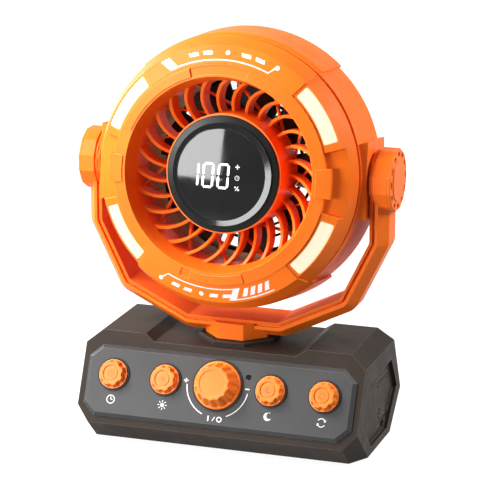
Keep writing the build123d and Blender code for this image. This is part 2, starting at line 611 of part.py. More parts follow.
ENCODER_TOP = BARREL_DEPTH + FLANGE_THICK + MOVE_GAP
ENCODER_WALL = 1.0
ENCODER_FLOOR = BOARD_TOP - ENCODER_WALL
PLUNGER_LENGTH = 1.7
SHAFT_FOOT = ENCODER_FLOOR - PRESS_TRAVEL - PLUNGER_LENGTH - 2 * SHAFT_GAP
with BuildPart() as encoder_body:
    with BuildSketch(PLATE_FACE.offset(-BOARD_TOP)):
        with Locations(KNOB_SPOT):
            RectangleRounded(ENCODER_SIDE, ENCODER_SIDE, ENCODER_WALL)
    extrude(amount=BOARD_TOP - ENCODER_TOP)
    with BuildSketch(PLATE_FACE.offset(-ENCODER_TOP)):
        with Locations(KNOB_SPOT):
            Circle(ENCODER_NECK_RADIUS)
    extrude(amount=ENCODER_NECK)
    with BuildSketch(PLATE_FACE):
        with Locations(KNOB_SPOT):
            Circle(SHAFT_RADIUS + SHAFT_GAP)
    extrude(amount=-ENCODER_FLOOR, mode=Mode.SUBTRACT)
save(encoder_body, "encoder_body")

with BuildPart() as encoder_plunger:
    with BuildSketch(PLATE_FACE.offset(-ENCODER_FLOOR + PRESS_TRAVEL + SHAFT_GAP)):
        with Locations(KNOB_SPOT):
            Circle(SHAFT_RADIUS)
    extrude(amount=PLUNGER_LENGTH)
save(encoder_plunger, "encoder_plunger")

with BuildPart() as encoder_shaft:
    with BuildSketch(PLATE_FACE.offset(-SHAFT_FOOT)):
        with Locations(KNOB_SPOT):
            Circle(SHAFT_RADIUS)
    extrude(amount=SHAFT_FOOT + KNOB_HEIGHT - KNOB_TOP_WALL - SEAT_GAP)
save(encoder_shaft, "encoder_shaft")

with BuildPart() as speed_knob:
    with BuildSketch(PLATE_FACE.offset(-COLLAR_HEIGHT)):
        with Locations(KNOB_SPOT):
            Circle(KNOB_RADIUS)
    extrude(amount=KNOB_FLANGE + COLLAR_HEIGHT)
    rim = speed_knob.edges().sort_by(Axis(PLATE_FACE.origin, PLATE_FACE.z_dir))[-1]
    fillet(rim, radius=KNOB_ROUND)
    lobed_cap(KNOB_SPOT, PLATE_FACE.offset(KNOB_FLANGE - ROOT), KNOB_RADIUS - KNOB_ROUND,
              KNOB_HEIGHT - KNOB_FLANGE + ROOT, KNOB_LOBES, KNOB_FLUTE, KNOB_TAPER)
    with BuildSketch(PLATE_FACE.offset(KNOB_HEIGHT)):
        with Locations(KNOB_SPOT):
            Circle(KNOB_TOP_RADIUS)
    extrude(amount=-KNOB_TOP_SINK, mode=Mode.SUBTRACT)
    with BuildSketch(PLATE_FACE.offset(-COLLAR_HEIGHT)):
        with Locations(KNOB_SPOT):
            Circle(SHAFT_RADIUS + SHAFT_GAP)
    extrude(amount=KNOB_HEIGHT + COLLAR_HEIGHT - KNOB_TOP_WALL, mode=Mode.SUBTRACT)
save(speed_knob, "speed_knob")

# ==== port bay, door and sockets =============================================================
KNUCKLE_START = DOOR_MIN_Y + EAR_WIDTH + MOVE_GAP
KNUCKLE_LENGTH = DOOR_SPAN_Y - 2 * EAR_WIDTH - 2 * MOVE_GAP
LEAF_HEIGHT = HINGE_Z - HINGE_RADIUS - DOOR_BOTTOM - 2 * MOVE_GAP
FLANGE_FACE = PANEL_FLOOR - BASE_WALL - SEAT_GAP

with BuildPart() as port_bay:
    with BuildSketch(END_AXIS.offset(BAY_BACK - BAY_WALL)):
        Rectangle(BAY_SPAN_Y, BAY_SPAN_Z)
    extrude(amount=BAY_DEPTH + BAY_WALL)
    with BuildSketch(END_AXIS.offset(FLANGE_FACE)):
        Rectangle(BAY_SPAN_Y + 2 * BAY_FLANGE, BAY_SPAN_Z + 2 * BAY_FLANGE)
    extrude(amount=-FLANGE_THICK)
    with BuildSketch(END_AXIS.offset(PANEL_FLOOR)):
        Rectangle(DOOR_SPAN_Y, DOOR_SPAN_Z)
    extrude(amount=-BAY_DEPTH, mode=Mode.SUBTRACT)
    with BuildSketch(END_AXIS.offset(BAY_BACK)):
        for drop, width, height in SOCKETS:
            with Locations((0, DOOR_SPAN_Z / 2 - drop)):
                Rectangle(width + 2 * SEAT_GAP, height + 2 * SEAT_GAP)
    extrude(amount=-2 * BAY_WALL, mode=Mode.SUBTRACT)
    cut_notch()
    # hinge ears
    with BuildSketch(Plane.XZ.offset(-DOOR_MAX_Y)):
        with Locations((HINGE_X, HINGE_Z)):
            Circle(HINGE_RADIUS)
        with Locations((HINGE_X - HINGE_RADIUS / 2, HINGE_Z + HINGE_RADIUS)):
            Rectangle(HINGE_RADIUS, 2 * HINGE_RADIUS)
    extrude(amount=DOOR_SPAN_Y)
    with BuildSketch(Plane.XZ.offset(-DOOR_MAX_Y + EAR_WIDTH)):
        with Locations((HINGE_X, HINGE_Z)):
            Rectangle(4 * HINGE_RADIUS, 2 * HINGE_RADIUS + 2 * SWING_GAP)
    extrude(amount=DOOR_SPAN_Y - 2 * EAR_WIDTH, mode=Mode.SUBTRACT)
    with BuildSketch(Plane.XZ.offset(-DOOR_MAX_Y)):
        with Locations((HINGE_X, HINGE_Z)):
            Circle(HINGE_PIN_RADIUS + SHAFT_GAP)
    extrude(amount=DOOR_SPAN_Y, mode=Mode.SUBTRACT)
save(port_bay, "port_bay")

with BuildPart() as port_door:
    with BuildSketch(Plane.YZ.offset(PANEL_FLOOR)):
        with Locations((DOOR_MID_Y, DOOR_BOTTOM + MOVE_GAP + LEAF_HEIGHT / 2)):
            Rectangle(DOOR_SPAN_Y - 2 * MOVE_GAP, LEAF_HEIGHT)
    extrude(amount=-DOOR_THICK)
    with BuildSketch(Plane.XZ.offset(-KNUCKLE_START - KNUCKLE_LENGTH)):
        with Locations((HINGE_X, HINGE_Z)):
            Circle(HINGE_RADIUS)
        with Locations((PANEL_FLOOR - DOOR_THICK / 2, HINGE_Z - HINGE_RADIUS)):
            Rectangle(DOOR_THICK, 2 * HINGE_RADIUS)
    extrude(amount=KNUCKLE_LENGTH)
    # grip ribs
    with BuildSketch(Plane.YZ.offset(PANEL_FLOOR - SEAT_GAP)):
        with Locations((DOOR_MID_Y, DOOR_BOTTOM + RIB_START + RIB_PITCH)):
            with GridLocations(DOOR_SPAN_Y, RIB_PITCH, 1, 3):
                SlotOverall(RIB_LENGTH, RIB_WIDTH)
    extrude(amount=RIB_RAISE + SEAT_GAP)
    with BuildSketch(Plane.XZ.offset(-DOOR_MAX_Y)):
        with Locations((HINGE_X, HINGE_Z)):
            Circle(HINGE_PIN_RADIUS + SHAFT_GAP)
    extrude(amount=DOOR_SPAN_Y, mode=Mode.SUBTRACT)
save(port_door, "port_door")

with BuildPart() as door_pin:
    with BuildSketch(Plane.XZ.offset(-DOOR_MAX_Y + SEAT_GAP)):
        with Locations((HINGE_X, HINGE_Z)):
            Circle(HINGE_PIN_RADIUS)
    extrude(amount=DOOR_SPAN_Y - 2 * SEAT_GAP)
save(door_pin, "door_pin")

PORT_BOARD_GAP = 4.0    # behind the bay
PORT_BOARD_X = BAY_BACK - BAY_WALL - PORT_BOARD_GAP
CORNER_SHARE = 0.22     # of a socket's height
with BuildPart() as usb_sockets:
    for drop, width, height in SOCKETS:
        with BuildSketch(END_AXIS.offset(PORT_BOARD_X)):
            with Locations((0, DOOR_SPAN_Z / 2 - drop)):
                RectangleRounded(width, height, height * CORNER_SHARE)
        extrude(amount=BAY_BACK + SOCKET_REACH - PORT_BOARD_X)
        mouth_width, mouth_height = width - 2 * SOCKET_WALL, height - 2 * SOCKET_WALL
        with BuildSketch(END_AXIS.offset(BAY_BACK + SOCKET_REACH)):
            with Locations((0, DOOR_SPAN_Z / 2 - drop)):
                RectangleRounded(mouth_width, mouth_height, mouth_height * CORNER_SHARE)
                Rectangle(mouth_width * 2 / 3, mouth_height / 4, mode=Mode.SUBTRACT)
        extrude(amount=-SOCKET_DEPTH, mode=Mode.SUBTRACT)
save(usb_sockets, "usb_sockets")

with BuildPart() as port_board:
    with BuildSketch(END_AXIS.offset(PORT_BOARD_X)):
        Rectangle(DOOR_SPAN_Y, DOOR_SPAN_Z)
    extrude(amount=-BOARD_THICK)
save(port_board, "port_board")

# ==== battery and main board ================================================================
CELL_RADIUS, CELL_LENGTH = 9.1, 65.0
CELL_Y = 9.4
CELL_ROOM = 2.5         # between the tray's end and the port board
TRAY_FLOOR = COVER_TOP + SEAT_GAP
TRAY_THICK = 1.4
TRAY_WIDTH = 37.0
TRAY_END = 4.0          # past the cells at each end
CELL_X = PORT_BOARD_X - BOARD_THICK - CELL_ROOM - TRAY_END - CELL_LENGTH / 2
RIB_THICK = 3.0
TERMINAL = 1.2
CELL_GAP_X = CELL_X - CELL_LENGTH / 2    # half the gap between the two rows
CELL_Z = TRAY_FLOOR + TRAY_THICK + CELL_RADIUS
MAIN_BOARD_Z = 27.0

with BuildPart() as battery_cells:
    for side in (1, -1):
        with BuildSketch(Plane.YZ.offset(side * CELL_GAP_X)):
            with GridLocations(2 * CELL_Y, 1, 2, 1):
                with Locations((0, CELL_Z)):
                    Circle(CELL_RADIUS)
        extrude(amount=side * CELL_LENGTH)
        with BuildSketch(Plane.YZ.offset(side * CELL_GAP_X)):
            with GridLocations(2 * CELL_Y, 1, 2, 1):
                with Locations((0, CELL_Z)):
                    Circle(CELL_RADIUS / 3)
        extrude(amount=-side * TERMINAL)
save(battery_cells, "battery_cells")

BOARD_POST_X, BOARD_POST_Y, BOARD_POST = 18.0, 28.0, 2.2
with BuildPart() as battery_tray:
    with BuildSketch(Plane.XY.offset(TRAY_FLOOR)):
        Rectangle(2 * (CELL_X + TRAY_END) + CELL_LENGTH, TRAY_WIDTH)
    extrude(amount=TRAY_THICK)
    with BuildSketch(Plane.XY.offset(TRAY_FLOOR)):
        for middle in (-CELL_X, CELL_X):
            with Locations((middle, 0)):
                with GridLocations(CELL_LENGTH * 0.75, TRAY_WIDTH, 2, 1):
                    Rectangle(RIB_THICK, TRAY_WIDTH)
    extrude(amount=TRAY_THICK + CELL_RADIUS)
    with BuildSketch(Plane.YZ.offset(-CELL_X - CELL_LENGTH / 2)):
        with Locations((CELL_Y, CELL_Z), (-CELL_Y, CELL_Z)):
            Circle(CELL_RADIUS + SHAFT_GAP)
    extrude(amount=2 * CELL_X + CELL_LENGTH, mode=Mode.SUBTRACT)
    with BuildSketch(Plane.XY.offset(TRAY_FLOOR)):
        with GridLocations(BOARD_POST_X, BOARD_POST_Y, 2, 2):
            Circle(BOARD_POST)
    extrude(amount=MAIN_BOARD_Z - TRAY_FLOOR)
save(battery_tray, "battery_tray")

MAIN_BOARD = (96.0, 40.0)
CHIP_SIDE, CHIP_HEIGHT = 12.0, 3.0
with BuildPart() as main_board:
    with BuildSketch(Plane.XY.offset(MAIN_BOARD_Z)):
        RectangleRounded(*MAIN_BOARD, BOARD_CORNER)
    extrude(amount=BOARD_THICK)
    with BuildSketch(Plane.XY.offset(MAIN_BOARD_Z + BOARD_THICK)):
        with GridLocations(MAIN_BOARD[0] / 3, MAIN_BOARD[1] / 2, 3, 1):
            Rectangle(CHIP_SIDE, CHIP_SIDE)
    extrude(amount=CHIP_HEIGHT)
save(main_board, "main_board")

# ==== pan drive ===============================================================================
BUSH_RADIUS = SPINDLE_RADIUS + SHAFT_GAP + BUSH_WALL
CLIP_ROOM = 3.0         # of the spindle's foot below the gear
CLIP_THICK, CLIP_WIDTH = 1.2, 2.4
GROOVE_WIDTH, GROOVE_DEPTH = 1.4, 1.0
SHOULDER = 2.0
RING_BEVEL = 0.6
GEAR_BOTTOM = GEAR_TOP - GEAR_WIDTH
SPINDLE_FOOT = GEAR_BOTTOM - CLIP_ROOM
NECK_BORE_TOP = YOKE_FLOOR - LINER_THICK - WIRE_DEPTH
BUSH_BOTTOM = CHANNEL_TOP - BASE_WALL - 2 * SEAT_GAP

with BuildPart() as turret_ring:
    with BuildSketch(Plane.XY.offset(CHANNEL_TOP)):
        RegularPolygon(RING_CIRCUMRADIUS, 8, rotation=22.5)
        Circle(BUSH_RADIUS + SEAT_GAP, mode=Mode.SUBTRACT)
    extrude(amount=RING_HEIGHT)
    chamfer(turret_ring.faces().sort_by(Axis.Z)[-1].outer_wire().edges(), length=RING_BEVEL)
save(turret_ring, "turret_ring")

with BuildPart() as pan_bush:
    with BuildSketch(Plane.XY.offset(BUSH_BOTTOM)):
        Circle(BUSH_RADIUS)
        Circle(SPINDLE_RADIUS + SHAFT_GAP, mode=Mode.SUBTRACT)
    extrude(amount=RING_TOP - BUSH_BOTTOM)
save(pan_bush, "pan_bush")

with BuildPart() as pan_spindle:
    with BuildSketch(Plane.XY.offset(SPINDLE_FOOT)):
        Circle(SPINDLE_RADIUS)
    extrude(amount=NECK_BORE_TOP - SPINDLE_FOOT)
    with BuildSketch(Plane.XY.offset(GEAR_TOP + SHAFT_GAP)):
        Circle(SPINDLE_RADIUS + SHOULDER)
    extrude(amount=BUSH_BOTTOM - GEAR_TOP - 3 * MOVE_GAP)
    with BuildSketch(Plane.XY.offset(GEAR_BOTTOM - SEAT_GAP)):
        Circle(SPINDLE_RADIUS)
        Circle(SPINDLE_RADIUS - GROOVE_DEPTH, mode=Mode.SUBTRACT)
    extrude(amount=-GROOVE_WIDTH, mode=Mode.SUBTRACT)
    with BuildSketch(Plane.XY.offset(SPINDLE_FOOT)):
        Circle(SPINDLE_BORE)
    extrude(amount=NECK_BORE_TOP - SPINDLE_FOOT, mode=Mode.SUBTRACT)
save(pan_spindle, "pan_spindle")

with BuildPart() as spindle_clip:
    with BuildSketch(Plane.XY.offset(GEAR_BOTTOM - SEAT_GAP - 2 * SHAFT_GAP)):
        Circle(SPINDLE_RADIUS + CLIP_WIDTH)
        Circle(SPINDLE_RADIUS - GROOVE_DEPTH + SHAFT_GAP, mode=Mode.SUBTRACT)
        with Locations((0, -SPINDLE_RADIUS)):
            Rectangle(SPINDLE_RADIUS, SPINDLE_RADIUS, mode=Mode.SUBTRACT)
    extrude(amount=-CLIP_THICK)
save(spindle_clip, "spindle_clip")


def roll_angle(base_radius, radius):
    """Involute function of a point on a tooth flank."""
    pressure = acos(min(1.0, base_radius / radius))
    return tan(pressure) - pressure


def gear_sketch(centre_x, teeth, first_tooth, bore):
    """Stub-toothed involute gear; the angle is that of the centre of its first tooth."""
    pitch = GEAR_MODULE * teeth / 2
    base_radius = pitch * cos(radians(PRESSURE_ANGLE))
    tip, root = pitch + TOOTH_TIP * GEAR_MODULE, pitch - TOOTH_ROOT * GEAR_MODULE
    half = degrees((pi * GEAR_MODULE / 2 - BACKLASH) / 2 / pitch + roll_angle(base_radius, pitch))
    flank = [
        (radius, half - degrees(roll_angle(base_radius, radius)))
        for radius in (max(root, base_radius), pitch, tip)
    ]
    side = [(root, flank[0][1]), *flank] if root < base_radius else flank
    outline = [
        (radius, first_tooth + 360 / teeth * tooth + sign * spread)
        for tooth in range(teeth)
        for sign, points in ((-1, side), (1, list(reversed(side))))
        for radius, spread in points
    ]
    corners = [
        (centre_x + radius * cos(radians(angle)), radius * sin(radians(angle)))
        for radius, angle in outline
    ]
    with BuildSketch(Plane.XY.offset(GEAR_BOTTOM)) as gear:
        with BuildLine():
            Polyline(*corners, close=True)
        make_face()
        with Locations((centre_x, 0)):
            Circle(bore, mode=Mode.SUBTRACT)
    return gear.sketch


with BuildPart() as pan_gear:
    extrude(gear_sketch(0, GEAR_TEETH, 180, SPINDLE_RADIUS + SHAFT_GAP), amount=GEAR_WIDTH)
    with BuildSketch(Plane.XY.offset(GEAR_TOP)):
        Circle(GEAR_RADIUS - GEAR_RIM)
        Circle(SPINDLE_RADIUS + GEAR_HUB, mode=Mode.SUBTRACT)
    extrude(amount=-GEAR_SINK, mode=Mode.SUBTRACT)
save(pan_gear, "pan_gear")

with BuildPart() as pan_pinion:
    extrude(
        gear_sketch(PINION_X, PINION_TEETH, 180 / PINION_TEETH, MOTOR_SHAFT_RADIUS + SHAFT_GAP / 5),
        amount=GEAR_WIDTH,
    )
    with BuildSketch(Plane.XY.offset(GEAR_TOP)):
        with Locations((PINION_X, 0)):
            Circle(MOTOR_SHAFT_RADIUS + PINION_HUB)
            Circle(MOTOR_SHAFT_RADIUS + SHAFT_GAP / 5, mode=Mode.SUBTRACT)
    extrude(amount=PINION_HUB_HEIGHT)
save(pan_pinion, "pan_pinion")

SHAFT_SINK = 6.0         # of the motor's shaft below its face
with BuildPart() as pan_motor_shaft:
    with BuildSketch(Plane.XY.offset(MOTOR_TOP - SHAFT_SINK)):
        with Locations((PINION_X, 0)):
            Circle(MOTOR_SHAFT_RADIUS)
    extrude(amount=GEAR_TOP + PINION_HUB_HEIGHT - 2 * MOVE_GAP - MOTOR_TOP + SHAFT_SINK)
save(pan_motor_shaft, "pan_motor_shaft")

with BuildPart() as pan_motor:
    with BuildSketch(Plane.XY.offset(MOTOR_TOP)):
        with Locations((PINION_X, 0)):
            Circle(MOTOR_RADIUS)
    extrude(amount=-MOTOR_HEIGHT)
    chamfer(pan_motor.edges().group_by(Axis.Z)[0], length=MOTOR_BEVEL)
    with BuildSketch(Plane.XY.offset(MOTOR_TOP)):
        with Locations((PINION_X, 0)):
            SlotCenterToCenter(MOTOR_EARS, MOTOR_EAR_WIDTH, rotation=90)
    extrude(amount=-MOTOR_BEVEL)
    with BuildSketch(Plane.XY.offset(MOTOR_TOP)):
        with Locations((PINION_X, 0)):
            Circle(MOTOR_SHAFT_RADIUS + SHAFT_GAP)
    extrude(amount=-SHAFT_SINK - MOVE_GAP, mode=Mode.SUBTRACT)
save(pan_motor, "pan_motor")

with BuildPart() as motor_bracket:
    with BuildSketch(Plane.XY.offset(MOTOR_TOP)):
        with Locations((PINION_X, 0)):
            SlotCenterToCenter(BRACKET_SPAN, BRACKET_WIDTH, rotation=90)
            Circle(MOTOR_RADIUS)
            Circle(MOTOR_SHAFT_RADIUS + BRACKET_POST, mode=Mode.SUBTRACT)
    extrude(amount=BRACKET_THICK)
    with BuildSketch(Plane.XY.offset(MOTOR_TOP)):
        with Locations((PINION_X, -BRACKET_SPAN / 2), (PINION_X, BRACKET_SPAN / 2)):
            Circle(BRACKET_POST)
    extrude(amount=CHANNEL_TOP - BASE_WALL - MOTOR_TOP)
save(motor_bracket, "motor_bracket")

# ==== yoke ======================================================================================
YOKE_SIDE = YOKE_WIDTH / 2
ARM_TOP = PIVOT_HEIGHT - ARM_DROP
ARM_X = YOKE_HALF + LINER_THICK        # inner face of the arm, under the liner


def yoke_outline(grow, side):
    """Filled outline of the yoke's inside, grown outward, on a plane across the base."""
    right = [(YOKE_HALF, PIVOT_HEIGHT + 2 * YOKE_THICK), *YOKE_INNER]
    with BuildSketch(Plane.XZ.offset(side)) as outline:
        with BuildLine():
            Polyline(*right, *((-x, z) for x, z in reversed(right)), close=True)
        make_face()
        offset(amount=grow, kind=Kind.INTERSECTION)
        fillet(outline.vertices().sort_by(Axis.Y)[:-2], radius=YOKE_ROUND + grow)
    return outline.sketch


def cut_above(height):
    """Takes away everything of the yoke above a height."""
    with BuildSketch(Plane.XY.offset(height)) as above:
        Rectangle(3 * YOKE_HALF, 4 * YOKE_WIDTH)
    extrude(above.sketch, amount=PIVOT_HEIGHT, mode=Mode.SUBTRACT)


def at_pivots(distance, sketch_maker, amount, mode=Mode.ADD):
    """Extrudes a sketch outward at both pivots, starting at a distance from the middle."""
    for side in (1, -1):
        plane = Plane(
            origin=(side * distance, 0, PIVOT_HEIGHT), x_dir=(0, side, 0), z_dir=(side, 0, 0)
        )
        extrude(sketch_maker(plane), amount=amount, mode=mode)


def disc(radius, bore=0.0):
    """Maker of a round sketch, or of a ring if it has a bore."""
    def make(plane):
        with BuildSketch(plane) as outline:
            Circle(radius)
            if bore:
                Circle(bore, mode=Mode.SUBTRACT)
        return outline.sketch
    return make


def facets(radius, bore):
    """Maker of a twelve-sided sketch with a round bore."""
    def make(plane):
        with BuildSketch(plane) as outline:
            RegularPolygon(radius, BOSS_SIDES, rotation=15)
            Circle(bore, mode=Mode.SUBTRACT)
        return outline.sketch
    return make


with BuildPart() as yoke_frame:
    flat = YOKE_SIDE - YOKE_BEVEL_SIDE
    extrude(yoke_outline(YOKE_THICK, -flat), amount=2 * flat)
    bevel = degrees(atan2(YOKE_BEVEL_OUT, YOKE_BEVEL_SIDE))
    extrude(yoke_outline(YOKE_THICK, flat), amount=YOKE_BEVEL_SIDE, taper=bevel)
    extrude(yoke_outline(YOKE_THICK, -flat), amount=-YOKE_BEVEL_SIDE, taper=bevel)
    # octagonal neck
    with BuildSketch(Plane.XY.offset(NECK_BOTTOM)):
        RegularPolygon(NECK_CIRCUMRADIUS, 8, rotation=22.5)
    extrude(amount=YOKE_FLOOR - LINER_THICK - NECK_BOTTOM)
    # open inside, seams beside the liner, wire channel behind it
    extrude(yoke_outline(LINER_THICK + SHAFT_GAP, -YOKE_WIDTH), amount=2 * YOKE_WIDTH, mode=Mode.SUBTRACT)
    extrude(yoke_outline(LINER_THICK + SEAM_WIDTH, -YOKE_SIDE), amount=SEAM_DEPTH, mode=Mode.SUBTRACT)
    extrude(yoke_outline(LINER_THICK + SEAM_WIDTH, YOKE_SIDE), amount=-SEAM_DEPTH, mode=Mode.SUBTRACT)
    extrude(yoke_outline(LINER_THICK + WIRE_DEPTH, -WIRE_WIDTH / 2), amount=WIRE_WIDTH, mode=Mode.SUBTRACT)
    cut_above(ARM_TOP)
    # twelve-sided bosses and their bores
    at_pivots(ARM_X + BOSS_STEP, facets(BOSS_RADIUS, BOLT_RADIUS + SHAFT_GAP), BOSS_FACE - ARM_X - BOSS_STEP)
    at_pivots(ARM_X, disc(BOSS_STEP_RADIUS, BOLT_RADIUS + SHAFT_GAP), BOSS_STEP)
    at_pivots(YOKE_HALF, disc(BOLT_RADIUS + SHAFT_GAP), 2 * BOSS_REACH, Mode.SUBTRACT)
    at_pivots(BOSS_FACE - BOLT_HEAD, disc(BOLT_HEAD_RADIUS), BOSS_REACH, Mode.SUBTRACT)
    with BuildSketch(Plane.XY.offset(NECK_BOTTOM)):
        Circle(SPINDLE_RADIUS + SHAFT_GAP / 5)
    extrude(amount=NECK_BORE_TOP - NECK_BOTTOM, mode=Mode.SUBTRACT)
save(yoke_frame, "yoke_frame")

with BuildPart() as yoke_liner:
    extrude(yoke_outline(LINER_THICK, -YOKE_SIDE), amount=YOKE_WIDTH)
    extrude(yoke_outline(0.0, -YOKE_WIDTH), amount=2 * YOKE_WIDTH, mode=Mode.SUBTRACT)
    cut_above(ARM_TOP)
    at_pivots(YOKE_HALF, facets(BOSS_STEP_RADIUS, BOLT_RADIUS + MOVE_GAP), LINER_THICK)
    at_pivots(YOKE_HALF, disc(BOLT_RADIUS + MOVE_GAP), LINER_THICK, Mode.SUBTRACT)
save(yoke_liner, "yoke_liner")

for cap_name, side in (("pivot_cap_left", -1), ("pivot_cap_right", 1)):
    cap_plane = Plane(
        origin=(side * CAP_SEAT, 0, PIVOT_HEIGHT), x_dir=(0, side, 0), z_dir=(side, 0, 0)
    )
    with BuildPart() as pivot_cap:
        with BuildSketch(cap_plane):
            RegularPolygon(BOSS_RADIUS, BOSS_SIDES, rotation=15)
        extrude(amount=CAP_THICK)
        chamfer(pivot_cap.faces().sort_by(Axis.X)[-1 if side > 0 else 0].edges(), length=CAP_BEVEL)
        extrude(disc(CAP_DISC_RADIUS)(cap_plane), amount=CAP_THICK + CAP_DISC_RAISE)
        with BuildSketch(cap_plane.offset(CAP_THICK)):
            with PolarLocations(CAP_POCKET_RADIUS, CAP_POCKETS):
                Rectangle(CAP_POCKET_WIDTH, CAP_POCKET_LENGTH)
        extrude(amount=-CAP_POCKET_DEPTH, mode=Mode.SUBTRACT)
        with BuildSketch(cap_plane):
            with PolarLocations(BOLT_HEAD_RADIUS + 2 * CAP_PIN_RADIUS, CAP_PINS):
                Circle(CAP_PIN_RADIUS)
        extrude(amount=-SEAT_GAP)
    save(pivot_cap, cap_name)

# ==== head: ring, lights ==========================================================================
SHELF_FRONT = 44.5              # the ring's shelf under the grille's lip
SHELF_INNER = LIP_RADIUS + 1.5
LIGHT_MIDDLE = (LIGHT_INNER + LIGHT_OUTER) / 2
RING_BACK = ((SPIGOT_RADIUS - 2.0, 30.0), (SPIGOT_RADIUS - 3.0, 35.5), (LIGHT_MIDDLE, 37.8),
             (SHELF_INNER, 40.6))
RIM_RING = ((RIM_RADIUS, RIM_BACK), (SPIGOT_RADIUS, RIM_BACK), (SPIGOT_RADIUS, SPIGOT_BACK),
            (SPIGOT_RADIUS - 2.0, SPIGOT_BACK))
LIGHT_SECTORS = [
    (start, start + LIGHT_END - LIGHT_START)
    for start in (LIGHT_START, 180 - LIGHT_END, 180 + LIGHT_START, 360 - LIGHT_END)
]


def face_depth(radius):
    """Depth of the ring's conical face at a radius."""
    return line_at((FACE_INNER, FACE_INNER_FRONT), (FACE_OUTER, FACE_OUTER_FRONT), radius)


def rim_radius(depth):
    """Radius of the ring's rim cone at a depth."""
    return line_at((FACE_OUTER_FRONT, FACE_OUTER), (RIM_BACK, RIM_RADIUS), depth)


def light_outline(start, end, inset, depth):
    """Arc-shaped outline with rounded corners of a light window, or of what sits in it."""
    trim = degrees(inset / LIGHT_INNER)
    span = end - start - 2 * trim
    with BuildSketch(FACE.offset(depth)) as outline:
        with BuildLine():
            inner_arc = CenterArc((0, 0), LIGHT_INNER + inset, start + trim, span)
            outer_arc = CenterArc((0, 0), LIGHT_OUTER - inset, start + trim, span)
            Line(inner_arc @ 0, outer_arc @ 0)
            Line(inner_arc @ 1, outer_arc @ 1)
        make_face()
        fillet(outline.vertices(), radius=LIGHT_ROUND - inset)
    return outline.sketch


with BuildPart() as front_ring:
    turn([(SHELF_INNER, SHELF_FRONT), (FACE_INNER, SHELF_FRONT), (FACE_INNER, FACE_INNER_FRONT),
          (FACE_OUTER, FACE_OUTER_FRONT), *RIM_RING, *RING_BACK])
    # raised face sectors at the top and bottom
    for start in (TOP_SECTOR_START, 180 + TOP_SECTOR_START):
        turn_sector(
            [(FACE_INNER, SHELF_FRONT), (FACE_INNER, FACE_INNER_FRONT + SECTOR_RAISE),
             (FACE_OUTER + SECTOR_RAISE / 2, FACE_OUTER_FRONT + SECTOR_RAISE),
             (RIM_RADIUS + SECTOR_RAISE / 2, RIM_BACK + 3.0), (RIM_RADIUS - 2.0, RIM_BACK + 3.0)],
            start, start + TOP_SECTOR_END - TOP_SECTOR_START,
        )
    # recessed side blocks
    for middle in (0, 180):
        turn_sector(
            [(FACE_INNER, SHELF_FRONT + 0.1), (FACE_INNER, FACE_INNER_FRONT + 1),
             (RIM_RADIUS, FACE_INNER_FRONT + 1), (rim_radius(38.5) + 0.2, 38.5)],
            middle - SIDE_SECTOR, middle + SIDE_SECTOR, Mode.SUBTRACT,
        )
    # light windows
    for start, end in LIGHT_SECTORS:
        extrude(light_outline(start, end, 0.0, LED_BOARD_FRONT),
                amount=FACE_INNER_FRONT + 2 * SECTOR_RAISE - LED_BOARD_FRONT, mode=Mode.SUBTRACT)
    # posts that carry the light board
    with BuildSketch(FACE.offset(LED_BOARD_FRONT)):
        with PolarLocations(LIGHT_MIDDLE, 4):
            Circle(2.4)
    extrude(amount=5.0)
save(front_ring, "front_ring")

for light_index, (start, end) in enumerate(LIGHT_SECTORS, 1):
    leg_outer = LIGHT_INNER + SEAT_GAP + LIGHT_LEG
    with BuildPart() as light_diffuser:
        extrude(light_outline(start, end, SEAT_GAP, LED_BOARD_FRONT + SHAFT_GAP),
                amount=FACE_INNER_FRONT - LED_BOARD_FRONT)
        # the front follows the ring's face
        turn([(FACE_INNER, face_depth(FACE_INNER) - LIGHT_SINK), (FACE_INNER, FACE_INNER_FRONT + LIGHT_THICK),
              (FACE_OUTER, FACE_INNER_FRONT + LIGHT_THICK),
              (FACE_OUTER, face_depth(FACE_OUTER) - LIGHT_SINK)],
             Mode.SUBTRACT)
        # hollow behind, with a leg left along the inner edge that stands on the light board
        turn([(leg_outer, LED_BOARD_FRONT), (leg_outer, face_depth(leg_outer) - LIGHT_THICK),
              (FACE_OUTER, face_depth(FACE_OUTER) - LIGHT_THICK), (FACE_OUTER, LED_BOARD_FRONT)],
             Mode.SUBTRACT)
    save(light_diffuser, f"light_diffuser_{light_index}")

LED_BOARD_INNER, LED_BOARD_OUTER = LIGHT_INNER - SEAT_GAP, LIGHT_OUTER + 0.7
LEDS = 4                # behind each window
with BuildPart() as led_board:
    turn([(LED_BOARD_INNER, LED_BOARD_FRONT), (LED_BOARD_OUTER, LED_BOARD_FRONT),
          (LED_BOARD_OUTER, LED_BOARD_FRONT - BOARD_THICK), (LED_BOARD_INNER, LED_BOARD_FRONT - BOARD_THICK)])
    with BuildSketch(FACE.offset(LED_BOARD_FRONT)):
        for start, end in LIGHT_SECTORS:
            with PolarLocations(LIGHT_MIDDLE, LEDS, start_angle=start + 5, angular_range=end - start - 10):
                Rectangle(3.5, 2.8)
    extrude(amount=0.8)
save(led_board, "led_board")

# ==== head: front grille =============================================================================
LIP_BACK = SHELF_FRONT + SEAT_GAP
FUNNEL_DEPTH = 38.0
CUP_FRONT, CUP_BACK = 28.0, 26.0
THROAT_BACK = DUCT_FRONT + SEAT_GAP
SKIRT_BACK = VANE_HUB_FRONT - VANE_WIDTH - STRUT_WIDTH - 0.4
VANE_MIDDLE = ((HUB_OUTER + THROAT_RADIUS) / 2, -2.5)    # radius and lag of a vane's middle
TAB_HALF = 7.4
LIP_STEPS = (                    # start, end, height over (+) or under (-) the lip's face
    (108, 157, 0.8), (75, 108, -0.7), (250, 256, -0.8), (256, 286.5, 0.8),
)


